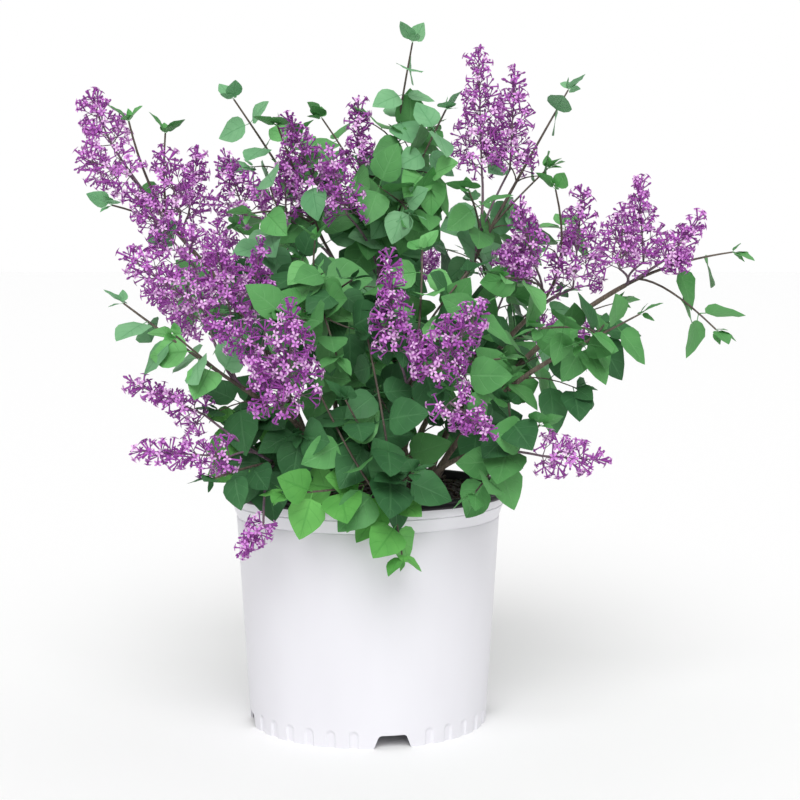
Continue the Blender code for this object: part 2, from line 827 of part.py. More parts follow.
def lay_panicle_axes(key, start, heading, space):
    """A blossom group with its main twig and a stalk and axis for each further panicle."""
    row = BLOSSOMS[key]
    name = "blossom_" + key
    base, tip, _ = row.panicles[0]
    points = [*main_line(start, heading, Vector(base)), Vector(tip)]
    mass = Mass(name, points, space)
    for base, tip, _ in row.panicles[1:]:
        _, foot, stalk = mass.add_fork(Vector(base))
        axis = (Vector(tip) - foot).normalized()
        twig = mass.add_side_twig(foot - axis * TWIG_RADIUS, Vector(tip), stalk)
        if twig is None:
            raise ValueError(f"{name}: no room for the axis of a panicle")
        mass.shoots.append(([foot, Vector(tip)], twig))
    return mass


def grow_blossom(mass, key):
    """Horns on every panicle of a group."""
    row = BLOSSOMS[key]
    chance = random.Random(row.seed)
    for (line, twig), (_, _, half_width) in zip(mass.shoots, row.panicles):
        grow_panicle(mass, line[-2], line[-1], half_width, twig, chance)


def grow_leaves(mass, key):
    """Leaves and side twigs on every shoot of a mass."""
    row = LEAF_MASSES[key]
    chance = random.Random(row.seed)
    for points, twig in mass.shoots:
        grow_leader(mass, points, twig, row, chance)


def main():
    clear_scene()
    plant = new_collection("potted_lilac")
    cutters = new_collection("cutters")
    white = principled("pot_plastic", (0.86, 0.86, 0.92), 0.35)
    earth = principled("potting_mix", (0.035, 0.025, 0.020), 0.95)
    bark = principled("bark", (0.22, 0.16, 0.12), 0.80)
    green = principled("leaf", (0.10, 0.30, 0.10), 0.45)
    lilac = principled("petal", (0.42, 0.14, 0.45), 0.50)
    build_pot(plant, cutters, white)
    build_soil(plant, earth)
    space = Space()
    for obj in list(plant.objects):
        shape = bmesh.new()
        mesh = evaluated_mesh(obj)
        shape.from_mesh(mesh)
        bpy.data.meshes.remove(mesh)
        space.take(shape, obj.name)
        shape.free()
    for name in BOUGHS:
        build_bough(plant, name, bark, space)
    starts = stem_starts()
    blossoms = {key: lay_panicle_axes(key, *starts[("blossom", key)], space) for key in BLOSSOMS}
    masses = {key: lay_leaf_shoots(key, *starts[("leaves", key)], space) for key in LEAF_MASSES}
    for key, mass in blossoms.items():
        grow_blossom(mass, key)
    for key, mass in masses.items():
        grow_leaves(mass, key)
    for mass in blossoms.values():
        joined(plant, mass, lilac)
    for mass in masses.values():
        joined(plant, mass, green)


if __name__ == "__main__":
    main()
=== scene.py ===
"""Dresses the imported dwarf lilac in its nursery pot: leaves, blossom, bark, pot and soil.

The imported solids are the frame. Limbs, twigs, leaves and florets grow here by the same rule
as the solids did, from the same places in metres, and carry on to finer twigs. Everything is
in the solids' own axes: +Z up, the front towards -Y, the pot standing on z = 0.
"""

from __future__ import annotations

import logging
import math
import random
from collections.abc import Callable
from dataclasses import dataclass, field
from enum import Enum

import bmesh
import bpy
from mathutils import Matrix, Vector


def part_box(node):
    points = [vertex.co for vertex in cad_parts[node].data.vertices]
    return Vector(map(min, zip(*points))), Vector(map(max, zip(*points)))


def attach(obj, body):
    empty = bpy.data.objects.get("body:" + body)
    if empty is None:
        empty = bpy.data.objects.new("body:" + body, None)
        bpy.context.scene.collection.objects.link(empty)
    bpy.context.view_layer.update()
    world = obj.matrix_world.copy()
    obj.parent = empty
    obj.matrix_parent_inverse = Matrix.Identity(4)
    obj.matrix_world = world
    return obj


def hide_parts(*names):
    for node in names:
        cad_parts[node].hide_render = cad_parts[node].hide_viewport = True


log = logging.getLogger("lilac")

UP = Vector((0.0, 0.0, 1.0))
QUARTER = math.pi / 2
FULL = 2.0 * math.pi
BODY = "root"
Triple = tuple[float, float, float]
Profile = list[tuple[float, float]]
Dice = random.Random


# Node trees


def operator(operation: str, swapped: bool = False) -> Callable:
    """Makes a Python operator that adds a Math node.

    Args:
        operation: the Math node's operation.
        swapped: whether the wire is the second value.

    Returns:
        The operator's method.
    """

    def joined(self: Wire, other: Wire | float) -> Wire:
        """The result of the two values."""
        terms = {0: other, 1: self} if swapped else {0: self, 1: other}
        return self.graph.add("ShaderNodeMath", terms, operation=operation).out()

    return joined


@dataclass(frozen=True)
class Wire:
    """One value in a node tree, on which Python's arithmetic adds Math nodes."""

    graph: Graph
    socket: bpy.types.NodeSocket

    __add__, __radd__ = operator("ADD"), operator("ADD", True)
    __sub__, __rsub__ = operator("SUBTRACT"), operator("SUBTRACT", True)
    __mul__, __rmul__ = operator("MULTIPLY"), operator("MULTIPLY", True)
    __pow__ = operator("POWER")

    def maths(self, operation: str, *others: Wire | float) -> Wire:
        """This value, and any others, through one Math node."""
        return self.graph.add("ShaderNodeMath", dict(enumerate((self, *others))), operation=operation).out()

    def __abs__(self) -> Wire:
        """This value without its sign."""
        return self.maths("ABSOLUTE")

    def rise(self, low: float, high: float) -> Wire:
        """A value that runs smoothly from 0 where this one is low to 1 where it is high."""
        sockets = {"Value": self, "From Min": low, "From Max": high}
        return self.graph.add("ShaderNodeMapRange", sockets, interpolation_type="SMOOTHSTEP").out()


@dataclass(frozen=True)
class Knot:
    """A node that a graph has added."""

    graph: Graph
    node: bpy.types.Node

    def out(self, name: str | int = 0) -> Wire:
        """One of the node's outputs.

        Args:
            name: the output's name or number.

        Returns:
            The output as a wire.
        """
        shown = [socket for socket in self.node.outputs if socket.enabled]
        if isinstance(name, int):
            return Wire(self.graph, shown[name])
        return Wire(self.graph, next(socket for socket in shown if socket.name == name))


@dataclass(frozen=True)
class Graph:
    """A node tree that is built by calls."""

    tree: bpy.types.NodeTree

    def add(self, kind: str, sockets: dict | None = None, **settings: object) -> Knot:
        """Adds any node.

        Args:
            kind: the node's type; one without Node in its name is a geometry node.
            sockets: values or wires by input name or number.
            settings: the node's own settings, which are set first.

        Returns:
            The new node.
        """
        node = self.tree.nodes.new(kind if "Node" in kind else "GeometryNode" + kind)
        for name, value in settings.items():
            setattr(node, name, value)
        for key, value in (sockets or {}).items():
            if isinstance(key, int):
                socket = node.inputs[key]
            else:
                socket = next(s for s in node.inputs if s.name == key and s.enabled)
            if isinstance(value, Wire):
                self.tree.links.new(value.socket, socket)
            else:
                socket.default_value = value
        return Knot(self, node)

    def mix(self, factor: Wire | float, *colours: Wire | Triple) -> Wire:
        """Mixes two colours, by a factor that is 0 for the first and 1 for the second."""
        ends = dict(zip("AB", (c if isinstance(c, Wire) else (*c, 1.0) for c in colours)))
        return self.add("ShaderNodeMix", {"Factor": factor, **ends}, data_type="RGBA").out("Result")

    def vector(self, x: Wire | float, y: Wire | float, z: Wire | float) -> Wire:
        """Joins three values as one vector."""
        return self.add("ShaderNodeCombineXYZ", {0: x, 1: y, 2: z}).out()

    def parts(self, vector: Wire) -> tuple[Wire, Wire, Wire]:
        """The three values of a vector."""
        split = self.add("ShaderNodeSeparateXYZ", {0: vector})
        return split.out(0), split.out(1), split.out(2)

    def attribute(self, name: str) -> Wire:
        """A named attribute, read in a material."""
        return self.add("ShaderNodeAttribute", attribute_name=name).out("Fac")

    def named(self, name: str, kind: str = "FLOAT") -> Wire:
        """A named attribute, read in a geometry tree."""
        return self.add("InputNamedAttribute", {"Name": name}, data_type=kind).out("Attribute")

    def store(self, mesh: Wire, name: str, value: Wire, domain: str, kind: str = "FLOAT") -> Wire:
        """Geometry with a named attribute added."""
        sockets = {"Geometry": mesh, "Name": name, "Value": value}
        return self.add("StoreNamedAttribute", sockets, data_type=kind, domain=domain).out()

    def shaped(self, mesh: Wire, place: Wire) -> Wire:
        """A mesh with every point moved to a computed place."""
        return self.add("SetPosition", {"Geometry": mesh, "Position": place}).out()

    def tube(self, sides: int, top: Wire | float, bottom: Wire | float, depth: Wire) -> Wire:
        """A tapering tube without ends that stands on the origin."""
        sockets = {"Vertices": sides, "Radius Top": top, "Radius Bottom": bottom, "Depth": depth}
        return self.add("MeshCone", sockets, fill_type="NONE").out("Mesh")

    def join(self, first: Wire, second: Wire) -> Wire:
        """Joins two meshes.

        Args:
            first: a mesh.
            second: the mesh that is linked after it.

        Returns:
            Both as one.
        """
        joined = self.add("JoinGeometry", {"Geometry": first})
        self.tree.links.new(second.socket, joined.node.inputs[0])
        return joined.out()


# Finishes


@dataclass(frozen=True)
class Finish:
    """A surface with a name, a darker and a lighter colour, and a roughness."""

    name: str
    dark: Triple
    light: Triple
    roughness: float = 0.5

    def material(self) -> bpy.types.Material:
        """Builds the material.

        Returns:
            A new material with this finish.
        """
        made = bpy.data.materials.new(self.name)
        made.use_nodes = True
        made.node_tree.nodes.clear()
        graph = Graph(made.node_tree)
        shader = graph.add("ShaderNodeBsdfPrincipled", self.surface(graph)).out()
        graph.add("ShaderNodeOutputMaterial", {"Surface": shader})
        made.diffuse_color = (*self.light, 1.0)
        return made

    def surface(self, graph: Graph) -> dict:
        """The values of the shader's sockets."""
        return {"Base Color": (*self.light, 1.0), "Roughness": self.roughness}

    def noise(self, graph: Graph, scale: float, detail: float = 2.0, stretch: Triple = (1, 1, 1)) -> Wire:
        """Smooth noise in the object's own metres.

        Args:
            graph: the material's graph.
            scale: patches to the metre.
            detail: how many finer layers it has.
            stretch: how much finer it is along each axis.

        Returns:
            A value round one half.
        """
        place = graph.add("ShaderNodeTexCoord").out("Object")
        mapped = graph.add("ShaderNodeMapping", {"Vector": place, "Scale": stretch}).out()
        return graph.add("ShaderNodeTexNoise", {"Vector": mapped, "Scale": scale, "Detail": detail}).out(0)

    def bump(self, graph: Graph, height: Wire, depth: float, strength: float = 1.0) -> Wire:
        """The normal of a relief: a height of 1 stands for a depth in metres."""
        return graph.add("ShaderNodeBump", {"Strength": strength, "Distance": depth, "Height": height}).out()


@dataclass(frozen=True)
class Moulded(Finish):
    """Injection-moulded plastic: faint flow marks and a fine matt grain."""

    gloss: float = 0.5
    grain: float = 0.00003

    def surface(self, graph: Graph) -> dict:
        """Flow marks in the colour, scuffs in the roughness.

        Args:
            graph: the material's graph.

        Returns:
            The values of the shader's sockets.
        """
        flow = self.noise(graph, 9.0, 3.0, (1.0, 1.0, 0.35))
        grain = self.noise(graph, 2600.0, 1.0)
        scuffs = self.noise(graph, 70.0, 4.0, (1.0, 1.0, 3.0)).rise(0.62, 0.78)
        return {
            "Base Color": graph.mix(flow.rise(0.3, 0.7), self.dark, self.light),
            "Roughness": self.roughness + scuffs * 0.12 + grain * 0.05,
            "Normal": self.bump(graph, grain, self.grain, 0.6),
            "Specular IOR Level": self.gloss,
        }


@dataclass(frozen=True)
class Bark(Finish):
    """Young bark: fine streaks up the limb, pale corky dots and a dull film."""

    streaks: float = 420.0
    relief: float = 0.00025

    def surface(self, graph: Graph) -> dict:
        """Streaks and dots in the colour and the relief.

        Args:
            graph: the material's graph.

        Returns:
            The values of the shader's sockets.
        """
        streak = self.noise(graph, self.streaks, 4.0, (1.0, 1.0, 0.12))
        patch = self.noise(graph, 38.0, 2.0)
        dots = self.noise(graph, 900.0, 0.0, (1.0, 1.0, 0.45)).rise(0.70, 0.76)
        body = graph.mix((streak * 0.6 + patch * 0.5).rise(0.35, 0.75), self.dark, self.light)
        pale = tuple(min(1.0, c * 1.5 + 0.03) for c in self.light)
        return {
            "Base Color": graph.mix(dots * 0.7, body, pale),
            "Roughness": self.roughness + streak * 0.15,
            "Normal": self.bump(graph, streak + dots, self.relief, 0.7),
        }


@dataclass(frozen=True)
class LeafSkin(Finish):
    """A leaf: midrib and side veins from the blade's own map, tints by leaf and by patch."""

    vein: Triple = (0.2, 0.4, 0.2)
    veins: int = 5
    relief: float = 0.0006

    def surface(self, graph: Graph) -> dict:
        """Ribs in the colour and the relief, over a tinted body.

        Args:
            graph: the material's graph.

        Returns:
            The values of the shader's sockets.
        """
        across, along, _ = graph.parts(graph.add("ShaderNodeUVMap", uv_map="UVMap").out())
        off = abs(across - 0.5) * 2.0
        midrib = 1.0 - off.rise(0.015, 0.085)
        wave = ((along - off * 0.24) * self.veins).maths("FRACT")
        side_vein = (1.0 - abs(wave - 0.5).rise(0.0, 0.085)) * (1.0 - off.rise(0.75, 1.0))
        ribs = midrib.maths("MAXIMUM", side_vein * 0.6)
        patch = self.noise(graph, 60.0)
        shade = graph.attribute("tint") * 0.65 + patch.rise(0.3, 0.7) * 0.35
        return {
            "Base Color": graph.mix(ribs * 0.38, graph.mix(shade, self.dark, self.light), self.vein),
            "Roughness": self.roughness + patch * 0.12,
            "Normal": self.bump(graph, 1.0 - ribs + self.noise(graph, 110.0) * 0.6, self.relief, 0.5),
            "Specular IOR Level": 0.25,
        }


@dataclass(frozen=True)
class Petal(Finish):
    """Petal tissue: soft and satiny, each floret a little different."""

    sheen: float = 0.15

    def surface(self, graph: Graph) -> dict:
        """Lighter towards the rim of a lobe.

        Args:
            graph: the material's graph.

        Returns:
            The values of the shader's sockets.
        """
        tint, rim, fine = graph.attribute("tint"), graph.attribute("rim"), self.noise(graph, 420.0, 2.0)
        return {
            "Base Color": graph.mix(tint * 0.45 + rim * 0.45 + fine * 0.10, self.dark, self.light),
            "Roughness": self.roughness + fine * 0.1,
            "Sheen Weight": self.sheen,
        }


@dataclass(frozen=True)
class PottingMix(Finish):
    """Damp bark mix: dark crumbs with paler fibres."""

    fibre: Triple = (0.14, 0.10, 0.07)
    relief: float = 0.002

    def surface(self, graph: Graph) -> dict:
        """Crumbs in the colour and the relief, with fibres over them.

        Args:
            graph: the material's graph.

        Returns:
            The values of the shader's sockets.
        """
        crumbs = self.noise(graph, 260.0, 6.0)
        fibres = self.noise(graph, 800.0, 2.0, (1.0, 0.15, 1.0)).rise(0.66, 0.75)
        body = graph.mix(crumbs.rise(0.35, 0.7), self.dark, self.light)
        return {
            "Base Color": graph.mix(fibres * 0.5, body, self.fibre),
            "Roughness": self.roughness - crumbs * 0.2,
            "Normal": self.bump(graph, crumbs, self.relief, 0.9),
        }


class LeafTone(Enum):
    """The greens that are dealt out to the leaves, one to each spray; SHADE is a darker copy that paints
    shade and SUN a lighter copy that paints sunlight.
    """

    MID = LeafSkin("leaf_mid", (0.077, 0.262, 0.077), (0.134, 0.398, 0.122), 0.46, (0.17, 0.44, 0.16))
    FRESH = LeafSkin("leaf_fresh", (0.118, 0.390, 0.112), (0.210, 0.545, 0.184), 0.44, (0.07, 0.28, 0.06))
    GREY = LeafSkin("leaf_grey", (0.134, 0.370, 0.166), (0.246, 0.525, 0.266), 0.50, (0.08, 0.30, 0.11))
    # Painted shade: a darker copy of the green, for leaves inside and low in the crown.
    SHADE = LeafSkin("leaf_shade", (0.029, 0.113, 0.040), (0.059, 0.202, 0.069), 0.48, (0.10, 0.27, 0.11))
    # Painted sunlight: a lighter copy of the green, for the lit low front leaves.
    SUN = LeafSkin("leaf_sun", (0.098, 0.355, 0.074), (0.166, 0.505, 0.110), 0.42, (0.06, 0.28, 0.05))


class PetalTone(Enum):
    """The purples that are dealt out to the florets' faces."""

    PALE = Petal("petal_pale", (0.680, 0.300, 0.700), (0.890, 0.610, 0.890), 0.55)
    MID = Petal("petal_mid", (0.500, 0.145, 0.540), (0.760, 0.320, 0.790), 0.55)
    DEEP = Petal("petal_deep", (0.330, 0.058, 0.380), (0.520, 0.135, 0.560), 0.55)


TUBE_SKIN = Petal("floret_tube", (0.330, 0.042, 0.370), (0.580, 0.120, 0.610), 0.50)
BUD_SKIN = Petal("bud", (0.240, 0.028, 0.280), (0.440, 0.078, 0.470), 0.50)
STALK_SKIN = Bark("flower_stalk", (0.130, 0.070, 0.125), (0.250, 0.170, 0.200), 0.60, 300.0)
TWIG_SKIN = Bark("young_twig", (0.060, 0.045, 0.038), (0.150, 0.120, 0.090), 0.62, 360.0)
BOUGH_SKIN = Bark("bark", (0.085, 0.062, 0.050), (0.230, 0.180, 0.140), 0.74, 420.0)
WHITE_PLASTIC = Moulded("white_plastic", (0.790, 0.782, 0.825), (0.835, 0.828, 0.872), 0.36)
BLACK_PLASTIC = Moulded("black_plastic", (0.004, 0.003, 0.004), (0.008, 0.007, 0.009), 0.34, 0.25)
SOIL_SKIN = PottingMix("potting_mix", (0.010, 0.007, 0.006), (0.050, 0.036, 0.027), 0.95)
CHIP_SKIN = Bark("bark_chip", (0.020, 0.013, 0.010), (0.090, 0.060, 0.040), 0.85, 500.0)
FLOOR_PAPER = Finish("floor_paper", (0.97, 0.97, 0.97), (0.98, 0.98, 0.98), 0.9)


# Pieces grown by geometry nodes


@dataclass
class Spots:
    """Where the copies of one small shape go, and how each is turned and sized."""

    places: list[Vector] = field(default_factory=list)
    turns: list[Triple] = field(default_factory=list)
    sizes: list[float] = field(default_factory=list)

    def put(self, place: Vector, forward: Vector, face: Vector, size: float, axis: str = "Y") -> None:
        """Notes one copy.

        Args:
            place: where its root goes.
            forward: the way that it points.
            face: the way that its face looks, roughly.
            size: its scale.
            axis: which of its own axes points forward, Y for a leaf and Z for a floret.
        """
        side = forward.cross(face).normalized()
        up = side.cross(forward)
        columns = (side, forward, up) if axis == "Y" else (side, -up, forward)
        self.places.append(place)
        self.turns.append(tuple(Matrix(columns).transposed().to_euler()))
        self.sizes.append(size)

    def mesh(self, name: str) -> bpy.types.Object:
        """Makes the points that a grower takes.

        Args:
            name: the object's name.

        Returns:
            A mesh of loose points that carries the turns and sizes as attributes.
        """
        made = bpy.data.meshes.new(name)
        made.from_pydata(self.places, [], [])
        turn = made.attributes.new("turn", "FLOAT_VECTOR", "POINT")
        turn.data.foreach_set("vector", [value for triple in self.turns for value in triple])
        made.attributes.new("size", "FLOAT", "POINT").data.foreach_set("value", self.sizes)
        return new_object(name, made)


@dataclass
class Limbs:
    """Tapering lines that become tubes, each a list of points with a radius at each."""

    lines: list[tuple[list[Vector], list[float]]] = field(default_factory=list)

    def put(self, points: list[Vector], start: float, end: float) -> None:
        """Notes one limb, with its radius at the first point and at the last."""
        last = len(points) - 1
        self.lines.append((points, [start + (end - start) * i / last for i in range(last + 1)]))

    def mesh(self, name: str) -> bpy.types.Object:
        """Makes the lines that a grower takes.

        Args:
            name: the object's name.

        Returns:
            A mesh of edge chains that carries the radius as an attribute.
        """
        places: list[Vector] = []
        edges: list[tuple[int, int]] = []
        radii: list[float] = []
        for points, widths in self.lines:
            first = len(places)
            places += points
            radii += widths
            edges += [(first + i, first + i + 1) for i in range(len(points) - 1)]
        made = bpy.data.meshes.new(name)
        made.from_pydata(places, edges, [])
        made.attributes.new("thickness", "FLOAT", "POINT").data.foreach_set("value", radii)
        return new_object(name, made)


def new_object(name: str, data: bpy.types.ID) -> bpy.types.Object:
    """Links a new object to the scene.

    Args:
        name: its name.
        data: its mesh, lamp or camera.

    Returns:
        The object.
    """
    obj = bpy.data.objects.new(name, data)
    bpy.context.scene.collection.objects.link(obj)
    return obj


def from_shape(name: str, shape: bmesh.types.BMesh) -> bpy.types.Object:
    """Makes an object of a bmesh, which it frees.

    Args:
        name: the object's name.
        shape: the bmesh.

    Returns:
        The object.
    """
    mesh = bpy.data.meshes.new(name)
    shape.to_mesh(mesh)
    shape.free()
    return new_object(name, mesh)


def baked(obj: bpy.types.Object) -> bpy.types.Mesh:
    """Makes the result of an object's modifiers its plain mesh.

    Args:
        obj: the object.

    Returns:
        Its new mesh.
    """
    bpy.context.view_layer.update()
    mesh = bpy.data.meshes.new_from_object(obj.evaluated_get(bpy.context.evaluated_depsgraph_get()))
    obj.modifiers.clear()
    obj.data = mesh
    mesh.name = obj.name
    return mesh


def worn(obj: bpy.types.Object, nodes: list[str]) -> bpy.types.Object:
    """Makes a finished piece ride with the plant and stand for its solids.

    Args:
        obj: the piece.
        nodes: the solids that it stands for.

    Returns:
        The same object.
    """
    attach(obj, BODY)
    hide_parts(*nodes)
    return obj


@dataclass
class Grower:
    """A geometry node tree with named inputs, which ends in realised instances and a material."""

    name: str
    sizes: dict[str, float]

    def __post_init__(self) -> None:
        """Makes the tree and its inputs."""
        self.tree = bpy.data.node_groups.new(self.name, "GeometryNodeTree")
        self.graph = Graph(self.tree)
        self.keys: dict[str, str] = {}
        self.socket("Geometry", "NodeSocketGeometry")
        for label, value in self.sizes.items():
            kind = "NodeSocketInt" if isinstance(value, int) else "NodeSocketFloat"
            self.socket(label, kind).default_value = value
        self.socket("Material", "NodeSocketMaterial")
        self.tree.interface.new_socket(name="Geometry", in_out="OUTPUT", socket_type="NodeSocketGeometry")
        self.given = self.graph.add("NodeGroupInput").out

    def socket(self, label: str, kind: str) -> bpy.types.NodeTreeInterfaceSocket:
        """Adds a named input and remembers its identifier.

        Args:
            label: its name.
            kind: its socket type.

        Returns:
            The input.
        """
        made = self.tree.interface.new_socket(name=label, in_out="INPUT", socket_type=kind)
        self.keys[label] = made.identifier
        return made

    def end(self, geometry: Wire) -> None:
        """Closes the tree.

        Args:
            geometry: what the tree has made.
        """
        real = self.graph.add("RealizeInstances", {"Geometry": geometry}).out()
        smooth = self.graph.add("SetShadeSmooth", {"Geometry": real}).out()
        sockets = {"Geometry": smooth, "Material": self.given("Material")}
        self.graph.add("NodeGroupOutput", {"Geometry": self.graph.add("SetMaterial", sockets).out()})

    def scatter(self, shape: Wire) -> Grower:
        """Puts a shape on every point, turned, sized and tinted, and closes the tree.

        Args:
            shape: the small shape, at its own origin.

        Returns:
            This grower.
        """
        graph = self.graph
        turn = graph.add("FunctionNodeEulerToRotation", {0: graph.named("turn", "FLOAT_VECTOR")}).out()
        sockets = {"Points": self.given("Geometry"), "Instance": shape, "Rotation": turn}
        sockets["Scale"] = graph.named("size")
        copies = graph.add("InstanceOnPoints", sockets).out()
        tint = graph.add("FunctionNodeRandomValue", {"Seed": self.given("Seed")}, data_type="FLOAT").out()
        self.end(graph.store(copies, "tint", tint, "INSTANCE"))
        return self

    def grow(self, obj: bpy.types.Object, finish: Finish, **sizes: float) -> bpy.types.Object:
        """Runs the tree on an object and makes the result its plain mesh.

        Args:
            obj: the object that holds the points or lines.
            finish: the finish of the result.
            sizes: values for named inputs.

        Returns:
            The same object.
        """
        modifier = obj.modifiers.new("grow", "NODES")
        modifier.node_group = self.tree
        for label, value in sizes.items():
            modifier[self.keys[label]] = value
        modifier[self.keys["Material"]] = finish.material()
        baked(obj)
        return obj


def leaf_grower() -> Grower:
    """The tree of a leaf: an ovate blade folded along its midrib, drooping, on a short stalk.

    Returns:
        The tree, which takes points with a turn and a size.
    """
    sizes = {"Length": 0.043, "Width": 0.041, "Stalk": 0.008}
    curves = {"Fold": 0.10, "Droop": 0.12, "Wave": 0.03}
    grower = Grower("leaves", {**sizes, **curves, "Seed": 1})
    graph, given = grower.graph, grower.given
    grid = graph.add("MeshGrid", {"Size X": 1.0, "Size Y": 1.0, "Vertices X": 5, "Vertices Y": 8})
    mapped = graph.store(grid.out("Mesh"), "UVMap", grid.out("UV Map"), "CORNER", "FLOAT2")
    x, y, _ = graph.parts(graph.add("InputPosition").out())
    across, along = x * 2.0, 0.5 - 0.5 * ((y + 0.5) * math.pi).maths("COSINE")
    rest = (1.0 - along).maths("MAXIMUM", 0.0)
    outline = 2.26 * along.maths("MAXIMUM", 0.0) ** 0.45 * rest**0.80
    length, reach = given("Length"), abs(across) * outline * given("Width")
    lift = given("Fold") * reach
    sag = given("Droop") * along * along * length
    ripple = given("Wave") * (along * 11.0 + across * 2.0).maths("SINE") * reach
    forward = given("Stalk") + (along + 0.10 * along**9.0) * length
    sideways = across * outline * given("Width") * 0.5
    blade = graph.shaped(mapped, graph.vector(sideways, forward, lift - sag + ripple))
    blade = graph.add("MergeByDistance", {"Geometry": blade, "Distance": 0.0001}).out()
    stalk = graph.tube(4, 0.0005, 0.0007, given("Stalk") * 1.3)
    stalk = graph.add("Transform", {"Geometry": stalk, "Rotation": (-QUARTER, 0.0, 0.0)}).out()
    return grower.scatter(graph.join(blade, stalk))


def tube_grower() -> Grower:
    """The tree of a floret's slender tube, flared a little at its mouth.

    Returns:
        The tree, which takes points with a turn and a size.
    """
    grower = Grower("floret_tubes", {"Length": 0.0118, "Root": 0.00055, "Mouth": 0.00095, "Seed": 2})
    given = grower.given
    return grower.scatter(grower.graph.tube(5, given("Mouth"), given("Root"), given("Length")))


def face_grower() -> Grower:
    """The tree of a floret's face: a disc drawn out into four spreading lobes.

    Returns:
        The tree, which takes points with a turn and a size.
    """
    sizes = {"Length": 0.0118, "Throat": 0.0010, "Lobe": 0.0036, "Spread": 0.28, "Dip": 0.0010, "Seed": 3}
    grower = Grower("floret_faces", sizes)
    graph, given = grower.graph, grower.given
    disc = graph.add("MeshCircle", {"Vertices": 16, "Radius": 1.0}, fill_type="TRIANGLE_FAN").out()
    x, y, _ = graph.parts(graph.add("InputPosition").out())
    radius = (x * x + y * y).maths("SQRT")
    lobed = abs((y.maths("ARCTAN2", x) * 2.0).maths("COSINE")) ** 1.4
    reach = given("Throat") + given("Lobe") * lobed
    height = given("Length") - given("Spread") * lobed * radius * given("Lobe")
    point = graph.vector(x * reach, y * reach, height - (1.0 - radius) * given("Dip"))
    return grower.scatter(graph.shaped(graph.store(disc, "rim", radius, "POINT"), point))


def bud_grower() -> Grower:
    """The tree of a closed floret: a tube that ends in a small club.

    Returns:
        The tree, which takes points with a turn and a size.
    """
    sizes = {"Length": 0.0100, "Club": 0.0012, "Root": 0.0004, "Neck": 0.0007, "Seed": 4}
    grower = Grower("buds", sizes)
    graph, given = grower.graph, grower.given
    tube = graph.tube(4, given("Neck"), given("Root"), given("Length"))
    club = graph.add("MeshIcoSphere", {"Radius": given("Club"), "Subdivisions": 1}).out("Mesh")
    lift = graph.vector(0.0, 0.0, given("Length"))
    club = graph.add("Transform", {"Geometry": club, "Translation": lift, "Scale": (1.0, 1.0, 1.7)}).out()
    return grower.scatter(graph.join(club, tube))


def chip_grower() -> Grower:
    """The tree of a flat flake of composted bark.

    Returns:
        The tree, which takes points with a turn and a size.
    """
    grower = Grower("bark_chips", {"Length": 0.009, "Seed": 5})
    graph = grower.graph
    flake = graph.add("MeshIcoSphere", {"Radius": 1.0, "Subdivisions": 1}).out("Mesh")
    spot = graph.add("InputPosition").out()
    x, y, z = graph.parts(spot)
    lumps = graph.add("ShaderNodeTexNoise", {"Vector": spot, "Scale": 1.7}).out(0)
    length = grower.given("Length") * (0.4 + lumps)
    point = graph.vector(x * length * 0.5, y * length * 0.28, z * length * 0.12)
    return grower.scatter(graph.shaped(flake, point))


def limb_grower() -> Grower:
    """The tree of tubes along lines, with the bark's relief pushed out of their skin.

    Returns:
        The tree, which takes lines with a radius at each point.
    """
    grower = Grower("limbs", {"Sides": 6, "Relief": 0.0, "Grain": 220.0})
    graph, given = grower.graph, grower.given
    lines = graph.add("MeshToCurve", {0: given("Geometry")}).out()
    width = graph.named("thickness")
    lines = graph.add("SetCurveRadius", {"Curve": lines, "Radius": width}).out()
    ring = graph.add("CurvePrimitiveCircle", {"Resolution": given("Sides"), "Radius": 1.0}).out()
    sockets = {"Curve": lines, "Profile Curve": ring, "Fill Caps": True, "Scale": width}
    skin = graph.add("CurveToMesh", sockets).out()
    spot = graph.add("InputPosition").out()
    streaks = graph.add("ShaderNodeVectorMath", {0: spot, 1: (1.0, 1.0, 0.25)}, operation="MULTIPLY").out()
    rough = graph.add("ShaderNodeTexNoise", {"Vector": streaks, "Scale": given("Grain")}).out(0)
    sockets = {0: graph.add("InputNormal").out(), "Scale": (rough - 0.5) * given("Relief")}
    push = graph.add("ShaderNodeVectorMath", sockets, operation="SCALE").out()
    grower.end(graph.add("SetPosition", {"Geometry": skin, "Offset": push}).out())
    return grower


# The plant


@dataclass(frozen=True)
class Bough:
    """A limb from the soil to the fork that ends it."""

    foot: tuple[float, float]
    tip: Triple
    radius: float = 0.0036


@dataclass(frozen=True)
class LeafMass:
    """Leafy shoots from the bough of the same name; the first tip ends the main shoot."""

    seed: int
    reach: float
    greens: str
    tips: tuple[Triple, ...]


@dataclass(frozen=True)
class Blossom:
    """Panicles from one bough, each as its base, its tip and its half width."""

    seed: int
    bough: str
    panicles: tuple[tuple[Triple, Triple, float], ...]


